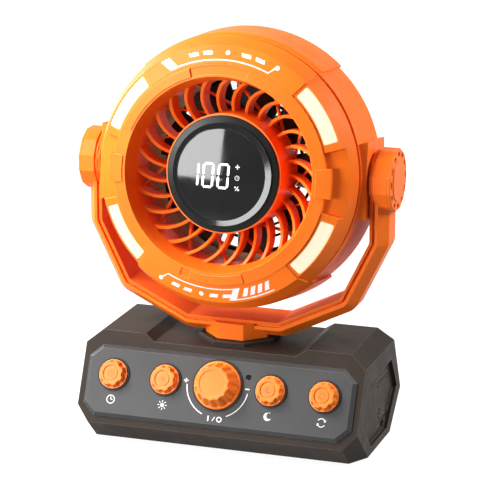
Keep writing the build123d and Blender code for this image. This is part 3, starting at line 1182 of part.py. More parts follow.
def lip_patch(start, end, height):
    """Raised or sunk stretch of the lip's face."""
    base_shift = -0.8 if height > 0 else 0.5
    radii = ((LIP_RADIUS + 1.5, LIP_FRONT - 0.34), (LIP_OUTER - 1.2, LIP_OUTER_FRONT + 0.27))
    top = [(radius, depth + max(height, base_shift)) for radius, depth in radii]
    bottom = [(radius, depth + min(height, base_shift)) for radius, depth in reversed(radii)]
    turn_sector(top + bottom, start, end, Mode.ADD if height > 0 else Mode.SUBTRACT)


def polar(radius, angle):
    """Point of a sketch at a radius and an angle."""
    return (radius * cos(radians(angle)), radius * sin(radians(angle)))


def cut_to_band(front_shift, back_shift):
    """Cuts what is being built to a conical band that falls back towards the hub."""
    for shift, far in ((front_shift, VANE_RIM_FRONT + VANE_WIDTH), (back_shift, -VANE_WIDTH)):
        turn([(HUB_INNER, VANE_HUB_FRONT + shift), (THROAT_RADIUS + 4.0, VANE_RIM_FRONT + shift + 2.0),
              (THROAT_RADIUS + 4.0, far), (HUB_INNER, far)], Mode.SUBTRACT)


VANE_STOCK = VANE_HUB_FRONT - VANE_WIDTH - STRUT_WIDTH - 1.0      # back of the uncut vanes and struts
with BuildPart() as swept_vanes:
    with BuildSketch(FACE.offset(VANE_STOCK)):
        with BuildLine():
            for vane in range(VANES):
                turned = 360 / VANES * vane
                ThreePointArc(
                    polar(HUB_OUTER - 1.0, turned), polar(VANE_MIDDLE[0], turned + VANE_MIDDLE[1]),
                    polar(THROAT_RADIUS + 1.2, turned - VANE_SWEEP),
                )
        trace(line_width=VANE_THICK)
    extrude(amount=VANE_RIM_FRONT + 1.0 - VANE_STOCK)
    cut_to_band(0.0, -VANE_WIDTH)

with BuildPart() as rear_struts:
    with BuildSketch(FACE.offset(VANE_STOCK)):
        with BuildLine():
            for strut in range(STRUTS):
                turned = 360 / STRUTS * strut - VANE_SWEEP
                Line(polar(THROAT_RADIUS + 1.2, turned), polar(HUB_OUTER - 1.0, turned - STRUT_SWEEP))
        trace(line_width=STRUT_THICK)
    extrude(amount=VANE_RIM_FRONT + 1.0 - VANE_STOCK)
    cut_to_band(STRUT_THICK / 2 - VANE_WIDTH, -VANE_WIDTH - STRUT_WIDTH)

with BuildPart() as front_grille:
    add(swept_vanes.part)
    add(rear_struts.part)
    # lip, funnel and throat
    turn([(LIP_RADIUS, LIP_FRONT), (LIP_OUTER, LIP_OUTER_FRONT), (LIP_OUTER, LIP_BACK),
          (SHELF_INNER - SEAT_GAP, LIP_BACK), (SHELF_INNER - SEAT_GAP, 42.0),
          (THROAT_RADIUS + THROAT_WALL, FUNNEL_DEPTH - 1.0), (THROAT_RADIUS + THROAT_WALL, THROAT_BACK),
          (THROAT_RADIUS + SEAM_BEVEL, THROAT_BACK), (THROAT_RADIUS, THROAT_BACK + SEAM_BEVEL),
          (THROAT_RADIUS, FUNNEL_DEPTH), (LIP_RADIUS - 1.2, 48.0)])
    for start, end, height in LIP_STEPS:
        lip_patch(start, end, height)
    # tabs over the side blocks
    for middle in (0, 180):
        turn_sector(
            [(LIP_RADIUS + 2.2, LIP_FRONT - 1.0), (LIP_RADIUS + 2.2, LIP_FRONT + 0.5),
             (LIP_OUTER + 3.8, LIP_OUTER_FRONT + 0.1), (LIP_OUTER + 3.8, SHELF_FRONT + 1.0),
             (LIP_OUTER - 0.5, SHELF_FRONT + 1.0)],
            middle - TAB_HALF, middle + TAB_HALF,
        )
    # hub: a cup behind the display, open at the back round the motor
    turn([(HUB_INNER, HUB_FRONT), (HUB_OUTER, HUB_FRONT), (HUB_OUTER + 0.6, SKIRT_BACK),
          (HUB_INNER, SKIRT_BACK), (HUB_INNER, CUP_BACK), (0, CUP_BACK), (0, CUP_FRONT),
          (HUB_INNER, CUP_FRONT)])
    with BuildSketch(FACE.offset(CUP_FRONT)):
        with PolarLocations(33.0, 3, start_angle=90):
            Circle(2.4)
    extrude(amount=5.0)
save(front_grille, "front_grille")

# ==== head: display ====================================================================================
DISPLAY_BOARD_BACK = CUP_FRONT + 5.0
LENS_SEAT = LENS_RIM_FRONT - LENS_THICK - SEAT_GAP
LENS_SEAT_WIDTH = 2.8
BEZEL_SLEEVE, BEZEL_SLEEVE_WALL = 37.3, 2.0
BEZEL_BEVEL = 0.5
with BuildPart() as display_bezel:
    turn([(BEZEL_SLEEVE, 30.5), (BEZEL_SLEEVE + BEZEL_SLEEVE_WALL, 30.5),
          (BEZEL_SLEEVE + BEZEL_SLEEVE_WALL, HUB_FRONT + MOVE_GAP), (BEZEL_RADIUS, HUB_FRONT + MOVE_GAP),
          (BEZEL_RADIUS, LENS_SEAT - BEZEL_BEVEL), (BEZEL_RADIUS - BEZEL_BEVEL, LENS_SEAT),
          (LENS_RIM + SEAT_GAP, LENS_SEAT + BEZEL_BEVEL), (LENS_RIM + SEAT_GAP, LENS_SEAT),
          (LENS_RIM - LENS_SEAT_WIDTH, LENS_SEAT), (LENS_RIM - LENS_SEAT_WIDTH, LENS_SEAT - 1.0),
          (BEZEL_SLEEVE, LENS_SEAT - 2.0)])
save(display_bezel, "display_bezel")

LENS_TOP = LENS_FRONT + LENS_RISE
with BuildPart() as display_lens:
    with BuildSketch(radial_plane(0)) as glass:
        with BuildLine():
            TangentArc((0, LENS_TOP), (LENS_RADIUS, LENS_FRONT), tangent=(1, 0))
            Polyline((LENS_RADIUS, LENS_FRONT), (LENS_RIM, LENS_RIM_FRONT),
                     (LENS_RIM, LENS_RIM_FRONT - LENS_THICK), (LENS_RADIUS, LENS_FRONT - LENS_THICK))
            TangentArc((0, LENS_TOP - LENS_THICK), (LENS_RADIUS, LENS_FRONT - LENS_THICK), tangent=(1, 0))
            Line((0, LENS_TOP - LENS_THICK), (0, LENS_TOP))
        make_face()
    revolve(glass.sketch, axis=FACE_AXIS)
save(display_lens, "display_lens")

with BuildPart() as display_board:
    with BuildSketch(FACE.offset(DISPLAY_BOARD_BACK)):
        Circle(36.8)
        with Locations((0, -33.5)):
            Rectangle(12, 8, mode=Mode.SUBTRACT)
    extrude(amount=BOARD_THICK)
save(display_board, "display_board")

with BuildPart() as digit_module:
    with BuildSketch(FACE.offset(DISPLAY_BOARD_BACK + BOARD_THICK)):
        Rectangle(38, 19)
    extrude(amount=5.6)
    with BuildSketch(FACE.offset(DISPLAY_BOARD_BACK + BOARD_THICK + 5.6)):
        with Locations((-12.5, 0), (-2.5, 0), (7.5, 0), (15.5, 0)):
            Rectangle(6.5, 15)
    extrude(amount=-0.4, mode=Mode.SUBTRACT)
save(digit_module, "digit_module")

# ==== head: duct, drum, rear grille ======================================================================
FLANGE_FRONT = DUCT_BACK + 2.0
DUCT_FLANGE = DRUM_OPENING + 6.0
with BuildPart() as air_duct:
    turn([(THROAT_RADIUS, DUCT_FRONT - SEAM_BEVEL), (THROAT_RADIUS + SEAM_BEVEL, DUCT_FRONT),
          (THROAT_RADIUS + DUCT_WALL, DUCT_FRONT), (THROAT_RADIUS + DUCT_WALL, FLANGE_FRONT),
          (DUCT_FLANGE, FLANGE_FRONT), (DUCT_FLANGE, DUCT_BACK), (THROAT_RADIUS, DUCT_BACK)])
save(air_duct, "air_duct")


def drum_radius(depth):
    """Radius of the drum's outer cone at a depth."""
    return line_at((DRUM_FRONT, DRUM_FRONT_RADIUS), (DRUM_BACK, DRUM_BACK_RADIUS), depth)


DRUM_BORE = SPIGOT_RADIUS + SEAT_GAP
BAND_START = DRUM_FRONT - 1.5
BAND_HALF = (TOP_SECTOR_END - TOP_SECTOR_START) / 2     # half-angle of the top and bottom bands
BACK_PLATE = DRUM_END + DRUM_WALL
with BuildPart() as drum_housing:
    turn([(DRUM_BORE, DRUM_FRONT), (DRUM_FRONT_RADIUS, DRUM_FRONT), (DRUM_BACK_RADIUS, DRUM_BACK),
          (DRUM_END_RADIUS, DRUM_END), (DRUM_OPENING, DRUM_END), (DRUM_OPENING, BACK_PLATE),
          (DRUM_END_RADIUS - 1.0, BACK_PLATE), (DRUM_BACK_RADIUS - DRUM_WALL, DRUM_BACK + 1.0),
          (DRUM_BORE, SPIGOT_BACK - 1.0)])
    # raised bands round the outside: top, bottom, and thicker ones over the pivots
    for middle, half, raised in (
        (90, BAND_HALF, DRUM_RAISE), (270, BAND_HALF, DRUM_RAISE),
        (0, SIDE_SECTOR, PIVOT_BAND_RAISE), (180, SIDE_SECTOR, PIVOT_BAND_RAISE),
    ):
        turn_sector(
            [(drum_radius(BAND_START) - 1, BAND_START), (drum_radius(BAND_START), BAND_START),
             (drum_radius(BAND_START - 2.0) + raised, BAND_START - 2.0),
             (DRUM_BACK_RADIUS + raised, DRUM_BACK),
             (DRUM_END_RADIUS + raised, DRUM_END + 1.2), (DRUM_END_RADIUS, DRUM_END + 1.2),
             (DRUM_BACK_RADIUS - 1.0, DRUM_BACK)],
            middle - half, middle + half,
        )
    # pivot bosses and flat pads
    boss_foot = PAD_FACE - PIVOT_BOSS_REACH
    at_pivots(boss_foot, disc(PIVOT_BOSS_RADIUS), PIVOT_BOSS_REACH)
    at_pivots(PAD_FACE - PAD_HEIGHT, disc(PAD_RADIUS), PAD_HEIGHT)
    at_pivots(PAD_FACE, disc(2 * BOSS_RADIUS), 2 * PIVOT_BAND_RAISE, Mode.SUBTRACT)
    at_pivots(boss_foot - 1.0, disc(BOLT_RADIUS + SHAFT_GAP / 5), 2 * PIVOT_BOSS_REACH, Mode.SUBTRACT)
    # screw bores of the rear grille
    with BuildSketch(FACE.offset(DRUM_END)):
        with PolarLocations(GUARD_SCREW_CIRCLE, GUARD_SCREWS, start_angle=45):
            Circle(GUARD_SCREW_RADIUS)
    extrude(amount=DRUM_WALL, mode=Mode.SUBTRACT)
save(drum_housing, "drum_housing")

GUARD_BACK = GUARD_FRONT - GUARD_THICK
GUARD_INNER = GUARD_RADIUS - GUARD_WALL
GUARD_PLATE = DRUM_END - 2.0          # back of the guard's rim
RING_PITCH = (GUARD_INNER - GUARD_HUB) / (GUARD_RINGS + 1)
with BuildPart() as rear_grille:
    turn([(GUARD_INNER, GUARD_FRONT), (GUARD_RADIUS, GUARD_FRONT), (GUARD_RADIUS, DRUM_END - SEAT_GAP),
          (GUARD_RIM, DRUM_END - SEAT_GAP), (GUARD_RIM, GUARD_PLATE + 0.6), (GUARD_RIM - 1.0, GUARD_PLATE),
          (GUARD_RADIUS, GUARD_PLATE), (GUARD_RADIUS - 1.0, GUARD_BACK), (GUARD_INNER, GUARD_BACK)])
    with BuildSketch(FACE.offset(GUARD_BACK)):
        for ring in range(GUARD_RINGS, 0, -1):
            Circle(GUARD_HUB + ring * RING_PITCH + GUARD_BAR / 2)
            Circle(GUARD_HUB + ring * RING_PITCH - GUARD_BAR / 2, mode=Mode.SUBTRACT)
        Circle(GUARD_HUB)
        with PolarLocations((GUARD_HUB + GUARD_INNER) / 2, GUARD_SPOKES):
            Rectangle(GUARD_INNER - GUARD_HUB + GUARD_WALL, GUARD_BAR)
    extrude(amount=GUARD_THICK)
    with BuildSketch(FACE.offset(DRUM_END)):
        with PolarLocations(GUARD_SCREW_CIRCLE, GUARD_SCREWS, start_angle=45):
            Circle(GUARD_SCREW_RADIUS + MOVE_GAP)
    extrude(amount=-2 * DRUM_WALL, mode=Mode.SUBTRACT)
save(rear_grille, "rear_grille")

with BuildPart() as rear_screws:
    with BuildSketch(FACE.offset(GUARD_PLATE)):
        with PolarLocations(GUARD_SCREW_CIRCLE, GUARD_SCREWS, start_angle=45):
            Circle(GUARD_SCREW_HEAD)
    extrude(amount=-GUARD_SCREW_HEAD_HEIGHT)
    with BuildSketch(FACE.offset(GUARD_PLATE)):
        with PolarLocations(GUARD_SCREW_CIRCLE, GUARD_SCREWS, start_angle=45):
            Circle(GUARD_SCREW_RADIUS - SHAFT_GAP / 5)
    extrude(amount=DRUM_END - GUARD_PLATE + DRUM_WALL - SEAT_GAP)
save(rear_screws, "rear_screws")

# ==== head: pivots =========================================================================================
HEAD_SEAT = BOSS_FACE - BOLT_HEAD + MOVE_GAP
HEAD_THICK = BOLT_HEAD - 1.2


def hexagon(plane):
    """Maker of a bolt's socket."""
    with BuildSketch(plane) as outline:
        RegularPolygon(BOLT_SOCKET, 6)
    return outline.sketch


with BuildPart() as pivot_bolts:
    at_pivots(PAD_FACE - BOLT_REACH, disc(BOLT_RADIUS), HEAD_SEAT - PAD_FACE + BOLT_REACH)
    at_pivots(HEAD_SEAT, disc(BOLT_HEAD_RADIUS - MOVE_GAP), HEAD_THICK)
    at_pivots(HEAD_SEAT + HEAD_THICK, hexagon, -BOLT_SOCKET_DEPTH, Mode.SUBTRACT)
save(pivot_bolts, "pivot_bolts")

with BuildPart() as pivot_washers:
    at_pivots(PAD_FACE + SHAFT_GAP, disc(WASHER_RADIUS, BOLT_RADIUS + SHAFT_GAP), WASHER_THICK)
save(pivot_washers, "pivot_washers")

# ==== fan ==================================================================================================
with BuildPart() as fan_motor:
    turn([(0, CUP_BACK - SHAFT_GAP), (FAN_MOTOR_RADIUS, CUP_BACK - SHAFT_GAP),
          (FAN_MOTOR_RADIUS, FAN_MOTOR_BACK + 1.5), (FAN_MOTOR_RADIUS - 1.5, FAN_MOTOR_BACK),
          (6.0, FAN_MOTOR_BACK), (6.0, FAN_MOTOR_BACK - 2.0),
          (FAN_SHAFT_RADIUS + SHAFT_GAP, FAN_MOTOR_BACK - 2.0),
          (FAN_SHAFT_RADIUS + SHAFT_GAP, 4.0), (0, 4.0)])
save(fan_motor, "fan_motor")


def blade_section(angle, radius, chord, pitch, bow):
    """Lens-shaped blade section on a plane facing outward at a radius."""
    outward = FACE.x_dir * cos(radians(angle)) + FACE.y_dir * sin(radians(angle))
    place = Plane(
        origin=FACE.origin + outward * radius + FACE.z_dir * BLADE_CENTRE,
        x_dir=FACE.z_dir.cross(outward), z_dir=outward,
    )
    thin, thick = bow - 1.0, bow + 1.0
    ends = [Vector(side * chord / 2, 0).rotate(Axis.Z, pitch) for side in (-1, 1)]
    crests = [Vector(0, height).rotate(Axis.Z, pitch) for height in (thin, thick)]
    with BuildSketch(place) as section:
        with BuildLine():
            ThreePointArc(ends[0], crests[0], ends[1])
            ThreePointArc(ends[1], crests[1], ends[0])
        make_face()
    return section.sketch


BLADE_ROOT = (22.0, 42.0, 2.6)         # chord, pitch in degrees and bow of the sections
BLADE_MIDDLE = (30.0, 31.0, 3.0)
BLADE_END = (37.0, 23.0, 3.0)
with BuildPart() as impeller:
    for blade in range(BLADES):
        angle = 360 / BLADES * blade
        loft([
            blade_section(angle, FAN_HUB_RADIUS - 1.5, *BLADE_ROOT),
            blade_section(angle, (FAN_HUB_RADIUS + BLADE_TIP) / 2, *BLADE_MIDDLE),
            blade_section(angle, BLADE_TIP + 3.0, *BLADE_END),
        ])
    with BuildSketch(FACE.offset(BLADE_CENTRE - BLADE_TIP)):
        Circle(BLADE_TIP)
    extrude(amount=2 * BLADE_TIP, mode=Mode.INTERSECT)
    turn([(0, FAN_HUB_BACK), (0, FAN_HUB_BACK + 4.0), (FAN_HUB_RADIUS - 2.5, FAN_HUB_BACK + 5.0),
          (FAN_HUB_RADIUS - 2.5, FAN_HUB_FRONT), (FAN_HUB_RADIUS, FAN_HUB_FRONT),
          (FAN_HUB_RADIUS, FAN_HUB_BACK + 2.0), (FAN_HUB_RADIUS - 2.0, FAN_HUB_BACK)])
    turn([(0, FAN_HUB_BACK - 1), (0, FAN_HUB_BACK + 5), (FAN_SHAFT_RADIUS + SHAFT_GAP / 5, FAN_HUB_BACK + 5),
          (FAN_SHAFT_RADIUS + SHAFT_GAP / 5, FAN_HUB_BACK - 1)], Mode.SUBTRACT)
save(impeller, "impeller")

with BuildPart() as fan_shaft:
    turn([(0, FAN_HUB_BACK - 3.5), (FAN_SHAFT_RADIUS, FAN_HUB_BACK - 3.5), (FAN_SHAFT_RADIUS, 3.5),
          (0, 3.5)])
save(fan_shaft, "fan_shaft")

with BuildPart() as impeller_nut:
    with BuildSketch(FACE.offset(FAN_HUB_BACK - SHAFT_GAP)):
        RegularPolygon(4.6, 6)
        Circle(FAN_SHAFT_RADIUS + SHAFT_GAP / 5, mode=Mode.SUBTRACT)
    extrude(amount=-2.6)
save(impeller_nut, "impeller_nut")
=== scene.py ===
# %% [markdown]
# # Camping fan: finishes, prints and studio
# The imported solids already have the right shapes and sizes, so this script dresses them: it gives
# every node a finish built from nodes, adds what is printed on the object, and sets up a soft
# studio. Everything is in metres, with +Z up and the control face towards -Y.

# %% Load the frame
from math import atan2, cos, pi, radians, sin

import bmesh
import bpy
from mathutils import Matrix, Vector


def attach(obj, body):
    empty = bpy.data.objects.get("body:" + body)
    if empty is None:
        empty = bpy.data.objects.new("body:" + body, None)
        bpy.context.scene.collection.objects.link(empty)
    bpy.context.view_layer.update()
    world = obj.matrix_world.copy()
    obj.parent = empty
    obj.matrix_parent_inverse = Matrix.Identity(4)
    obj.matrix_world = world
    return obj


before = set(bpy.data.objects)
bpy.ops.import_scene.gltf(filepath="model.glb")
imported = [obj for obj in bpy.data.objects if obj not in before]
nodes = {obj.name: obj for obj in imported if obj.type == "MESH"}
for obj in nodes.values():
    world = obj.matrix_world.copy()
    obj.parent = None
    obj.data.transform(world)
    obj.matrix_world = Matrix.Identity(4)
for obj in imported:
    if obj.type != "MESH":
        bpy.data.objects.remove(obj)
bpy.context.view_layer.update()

# %% [markdown]
# ## Two working frames
# Prints lie on two surfaces: the sloping control plate and the face of the head. A small function
# for each turns "along, down, above" or "angle, radius, above" into a point in space, so that a
# print can be drawn flat and still follow the cone of the light ring. Sizes here are in
# millimetres, and the functions return metres.

# %% Frame of the control plate
MM = 0.001
FACE_RUN, FACE_RISE = 28.5, 61.6        # of the sloping control face
SLOPE = atan2(FACE_RUN, FACE_RISE)      # of that face from the vertical
FACE_TOP = (-33.7, 78.0)                # y and z of its top edge
PLATE_RAISE = 3.7                       # of the control plate above the face
CONTROL_DOWN = 32.2                     # centres of the knob and the buttons, down the face
PLATE_OUT = Vector((0, -cos(SLOPE), sin(SLOPE)))
PLATE_DOWN = Vector((0, -sin(SLOPE), -cos(SLOPE)))


def plate_point(x, down, above=0.0):
    """Point on the control plate, in metres."""
    top_edge = Vector((x, *FACE_TOP))
    return (top_edge + PLATE_DOWN * down + PLATE_OUT * (PLATE_RAISE + above)) * MM


print("knob centre", [round(v, 4) for v in plate_point(0, CONTROL_DOWN)])

# %% [markdown]
# The head looks up a little, so its own axes are tilted. The raised sectors of its light ring lie on
# a cone that falls back as it goes outwards.

# %% Frame of the head
TILT = radians(6.5)                     # how far the head looks up
HEAD_CENTRE = Vector((0, 0, 197.5))
HEAD_OUT = Vector((0, -cos(TILT), sin(TILT)))
HEAD_UP = Vector((0, sin(TILT), cos(TILT)))
RING_INNER, RING_DEPTH = 77.9, 49.0     # radius at which the ring's cone starts, and its depth there
RING_RUN, RING_FALL = 12.1, 4.5         # how far the cone reaches outwards, and how far it falls back


def head_point(x, y, depth):
    """Point in front of the head's centre, in metres."""
    return (HEAD_CENTRE + Vector((x, 0, 0)) + HEAD_UP * y + HEAD_OUT * depth) * MM


def ring_point(angle, radius, above=0.0):
    """Point on the raised sectors of the light ring, in metres; the angle is in degrees."""
    depth = RING_DEPTH - (radius - RING_INNER) * RING_FALL / RING_RUN + above
    return head_point(radius * cos(radians(angle)), radius * sin(radians(angle)), depth)


print("top of the ring", [round(v, 4) for v in ring_point(90, RING_INNER)])

# %% [markdown]
# ## A small kit for node materials
# Each finish is a Principled shader fed by noise in object space. Noise in object space stays with
# the piece when a joint moves it, and needs no unwrapped surface. These four helpers keep the
# finishes below short.

# %% Material kit
COLOUR_A, COLOUR_B, COLOUR_RESULT = 6, 7, 2     # sockets of a Mix node that mixes colours


def new_material(name):
    """Empty node material with its Principled shader."""
    material = bpy.data.materials.new(name)
    material.use_nodes = True
    shader = material.node_tree.nodes["Principled BSDF"]
    return material, material.node_tree.nodes, material.node_tree.links, shader


def object_noise(tree_nodes, links, scale, detail=2.0, rough=0.5):
    """Noise texture in object space."""
    place = tree_nodes.new("ShaderNodeTexCoord")
    noise = tree_nodes.new("ShaderNodeTexNoise")
    noise.inputs["Scale"].default_value = scale
    noise.inputs["Detail"].default_value = detail
    noise.inputs["Roughness"].default_value = rough
    links.new(place.outputs["Object"], noise.inputs["Vector"])
    return noise.outputs["Fac"]


def ranged(tree_nodes, links, value, low, high, to_low, to_high):
    """Value mapped from one range to another."""
    ranges = tree_nodes.new("ShaderNodeMapRange")
    links.new(value, ranges.inputs["Value"])
    limits = {"From Min": low, "From Max": high, "To Min": to_low, "To Max": to_high}
    for socket, number in limits.items():
        ranges.inputs[socket].default_value = number
    return ranges.outputs["Result"]


def mixed(tree_nodes, links, share, first, second):
    """Colour mix; either colour may be a tuple or a socket."""
    mix = tree_nodes.new("ShaderNodeMix")
    mix.data_type = "RGBA"
    links.new(share, mix.inputs["Factor"])
    for socket, colour in ((mix.inputs[COLOUR_A], first), (mix.inputs[COLOUR_B], second)):
        if isinstance(colour, tuple):
            socket.default_value = (*colour, 1.0)
        else:
            links.new(colour, socket)
    return mix.outputs[COLOUR_RESULT]


print("nodes to dress:", len(nodes))

# %% [markdown]
# ## Moulded plastic
# Most of the fan is moulded, and three things show it. The colour shifts a little over a broad noise. A
# fine noise drives the bump, as the grain of the mould. The angle between a rounded normal and the flat one
# marks the edges. They are lightened, partly as wear from handling and partly as a painted highlight where
# edges catch the light. The rounded normal itself gives sharp edges the small radius that every moulding
# has.

# %% Moulded plastic
BEVEL_SAMPLES = 6
FLAT_COSINE, EDGE_COSINE = 0.985, 0.80      # between the two normals, on a flat and on an edge
BROAD_SCALE, PATCH_SCALE = 22.0, 90.0       # of the noise in the colour and of the one in the gloss
NOISE_SPAN = (0.3, 0.7)                     # where nearly all values of a noise lie
NOISE_CORE = (0.35, 0.65)
GRAIN_HEIGHT = 0.3 * MM


def edge_mask(tree_nodes, links, radius):
    """1 at convex and concave edges, 0 on flats, with a rounded normal as second output."""
    bevel = tree_nodes.new("ShaderNodeBevel")
    bevel.samples = BEVEL_SAMPLES
    bevel.inputs["Radius"].default_value = radius
    geometry = tree_nodes.new("ShaderNodeNewGeometry")
    dot = tree_nodes.new("ShaderNodeVectorMath")
    dot.operation = "DOT_PRODUCT"
    links.new(bevel.outputs["Normal"], dot.inputs[0])
    links.new(geometry.outputs["Normal"], dot.inputs[1])
    mask = ranged(tree_nodes, links, dot.outputs["Value"], FLAT_COSINE, EDGE_COSINE, 0.0, 1.0)
    return mask, bevel.outputs["Normal"]


def moulded(name, colour, shade, edge_wear_and_highlight, rough=(0.34, 0.46), grain=1500.0, bump=0.05, round_edge=0.5,
            coat=0.0, gloss=0.18):
    """Moulded plastic: two-tone body, edges lightened by wear and a painted highlight, grain bump and
    uneven gloss.
    """
    material, tree_nodes, links, shader = new_material(name)
    broad = object_noise(tree_nodes, links, BROAD_SCALE, 3.0)
    broad = ranged(tree_nodes, links, broad, *NOISE_CORE, 0.0, 1.0)
    body = mixed(tree_nodes, links, broad, colour, shade)
    mask, normal = edge_mask(tree_nodes, links, round_edge * MM)
    # Edges are lightened: partly wear, partly a painted highlight where they would catch the light.
    links.new(mixed(tree_nodes, links, mask, body, edge_wear_and_highlight), shader.inputs["Base Color"])
    patch = object_noise(tree_nodes, links, PATCH_SCALE, 4.0, 0.6)
    links.new(ranged(tree_nodes, links, patch, *NOISE_SPAN, *rough), shader.inputs["Roughness"])
    relief = tree_nodes.new("ShaderNodeBump")
    relief.inputs["Strength"].default_value = bump
    relief.inputs["Distance"].default_value = GRAIN_HEIGHT
    links.new(object_noise(tree_nodes, links, grain), relief.inputs["Height"])
    links.new(normal, relief.inputs["Normal"])
    links.new(relief.outputs["Normal"], shader.inputs["Normal"])
    shader.inputs["Specular IOR Level"].default_value = gloss
    shader.inputs["Coat Weight"].default_value = coat
    shader.inputs["Coat Roughness"].default_value = 0.25
    return material


def dress(material, *names):
    """Puts one material on every slot of the named nodes."""
    for name in names:
        slots = nodes[name].data.materials
        slots.clear()
        slots.append(material)
    print(f"{material.name}:", ", ".join(names))


# %% [markdown]
# ## The orange plastic
# Nearly everything that shows is one satin orange plastic. Its colour is deep, so that the lit
# faces come out a clean orange and the shaded ones go towards red instead of brown. The grille has
# a little more red, because light reaches its vanes only after it has bounced between orange walls.
# The yoke's liner is duller, and the knob and the buttons are lighter, with a thin clear coat.

# %% Orange shells, yoke and controls
orange = moulded("orange_shell", (0.95, 0.180, 0.012), (0.91, 0.158, 0.010), (1.0, 0.38, 0.08),
                 rough=(0.40, 0.52), gloss=0.14)
dress(orange, "front_ring", "drum_housing", "yoke_frame", "pivot_cap_left", "pivot_cap_right")
liner = moulded("liner_orange", (0.84, 0.150, 0.016), (0.78, 0.130, 0.013), (0.95, 0.34, 0.08),
                rough=(0.5, 0.62), gloss=0.06)
dress(liner, "yoke_liner")
grille_orange = moulded("orange_grille", (0.94, 0.170, 0.011), (0.90, 0.145, 0.009), (1.0, 0.42, 0.10),
                        round_edge=0.45)
dress(grille_orange, "front_grille")
control_orange = moulded("orange_controls", (0.96, 0.215, 0.014), (0.91, 0.180, 0.011),
                         (1.0, 0.48, 0.14), round_edge=0.5, coat=0.22)
dress(control_orange, "timer_button", "light_button", "night_button", "rotation_button", "speed_knob")

# %% [markdown]
# ## Measuring inside a material
# Two details below need to know where on the head they are: the dark lines on the duct, which are partly
# seams and partly painted vane shadow, and the rim of the display's glass. Object space has the part's
# origin, so the distance from the head's axis, the depth along it and the turn about it follow from a few
# vector nodes.

# %% Polar coordinates of the head
def vector_math(tree_nodes, links, operation, first, second, output="Vector"):
    """Result of a vector operation; either input may be a Vector or a socket."""
    node = tree_nodes.new("ShaderNodeVectorMath")
    node.operation = operation
    for socket, value in zip(node.inputs, (first, second)):
        if isinstance(value, Vector):
            socket.default_value = value
        else:
            links.new(value, socket)
    return node.outputs[output]


def number_math(tree_nodes, links, operation, first, second):
    """Result of an operation on numbers; either input may be a number or a socket."""
    node = tree_nodes.new("ShaderNodeMath")
    node.operation = operation
    for socket, value in zip(node.inputs, (first, second)):
        if isinstance(value, (int, float)):
            socket.default_value = value
        else:
            links.new(value, socket)
    return node.outputs["Value"]


def head_polar(tree_nodes, links):
    """Distance from the head's axis, depth along it (both in metres) and turn about it."""
    place = tree_nodes.new("ShaderNodeTexCoord").outputs["Object"]
    offset = vector_math(tree_nodes, links, "SUBTRACT", place, HEAD_CENTRE * MM)
    across = vector_math(tree_nodes, links, "CROSS_PRODUCT", offset, HEAD_OUT)
    radius = vector_math(tree_nodes, links, "LENGTH", across, Vector((0, 0, 0)), "Value")
    depth = vector_math(tree_nodes, links, "DOT_PRODUCT", offset, HEAD_OUT, "Value")
    up = vector_math(tree_nodes, links, "DOT_PRODUCT", offset, HEAD_UP, "Value")
    aside = vector_math(tree_nodes, links, "DOT_PRODUCT", offset, Vector((1, 0, 0)), "Value")
    return radius, depth, number_math(tree_nodes, links, "ARCTAN2", up, aside)


print("head's axis", [round(v, 4) for v in HEAD_OUT])

# %% [markdown]
# ## Duct, fan and rear guard
# The duct is a pale brownish orange that scatters light back into the vanes. Thin dark lines divide its
# wall into panels; they are partly its seams and partly painted shadow of the vanes. A ping-pong of depth
# and one of the turn about the axis are zero on evenly spaced lines, so the smaller of the two marks the
# lines. The impeller is a glossy brown-black and the guard at the back a matt black, so the daylight behind
# them draws their bars.

# %% Duct, impeller, rear guard
SEAM_SHADOW_COLUMNS = 20                             # dark lines of seam and painted vane shadow, round the axis
SEAM_SHADOW_ROW_DEPTH = 14.0 * MM
SEAM_SHADOW_HALF, SEAM_SHADOW_FADE = 0.12 * MM, 0.35 * MM     # from a line's middle to where it fades and ends
SEAM_SHADOW_SHARE = 0.8                        # of the dark line's colour where it is darkest
duct = moulded("duct_wall", (0.80, 0.40, 0.20), (0.74, 0.35, 0.17), (0.85, 0.48, 0.28),
               rough=(0.5, 0.62), gloss=0.08)
tree_nodes, links = duct.node_tree.nodes, duct.node_tree.links
radius, depth, turn = head_polar(tree_nodes, links)
rows = number_math(tree_nodes, links, "PINGPONG", depth, SEAM_SHADOW_ROW_DEPTH / 2)
columns = number_math(tree_nodes, links, "PINGPONG", turn, pi / SEAM_SHADOW_COLUMNS)
columns = number_math(tree_nodes, links, "MULTIPLY", columns, radius)
near = number_math(tree_nodes, links, "MINIMUM", rows, columns)
# Dark lines on the duct: partly seams, partly a painted shadow of the vanes.
seam_and_vane_shadow = ranged(tree_nodes, links, near, SEAM_SHADOW_HALF, SEAM_SHADOW_FADE, SEAM_SHADOW_SHARE, 0.0)
colour = tree_nodes["Principled BSDF"].inputs["Base Color"]
links.new(mixed(tree_nodes, links, seam_and_vane_shadow, colour.links[0].from_socket, (0.16, 0.04, 0.015)), colour)
dress(duct, "air_duct")
blades = moulded("impeller_brown", (0.028, 0.013, 0.010), (0.036, 0.016, 0.012), (0.10, 0.04, 0.025),
                 rough=(0.26, 0.36), bump=0.02, coat=0.2)
dress(blades, "impeller")
guard = moulded("rear_guard", (0.018, 0.016, 0.016), (0.026, 0.022, 0.021), (0.06, 0.055, 0.05),
                rough=(0.5, 0.62))
# The collars of the buttons and the knob get this black as painted shade for the dark gaps round the
# controls.
dress(guard, "rear_grille", "button_collars", "knob_collar")

# %% [markdown]
# ## The base
# The shell is a brownish charcoal with a fine spark-eroded grain. The control plate is lighter,
# greyer and smoother, like plastic sprayed with a gunmetal lacquer: its two tones lie close
# together, its grain is finer and its gloss higher.

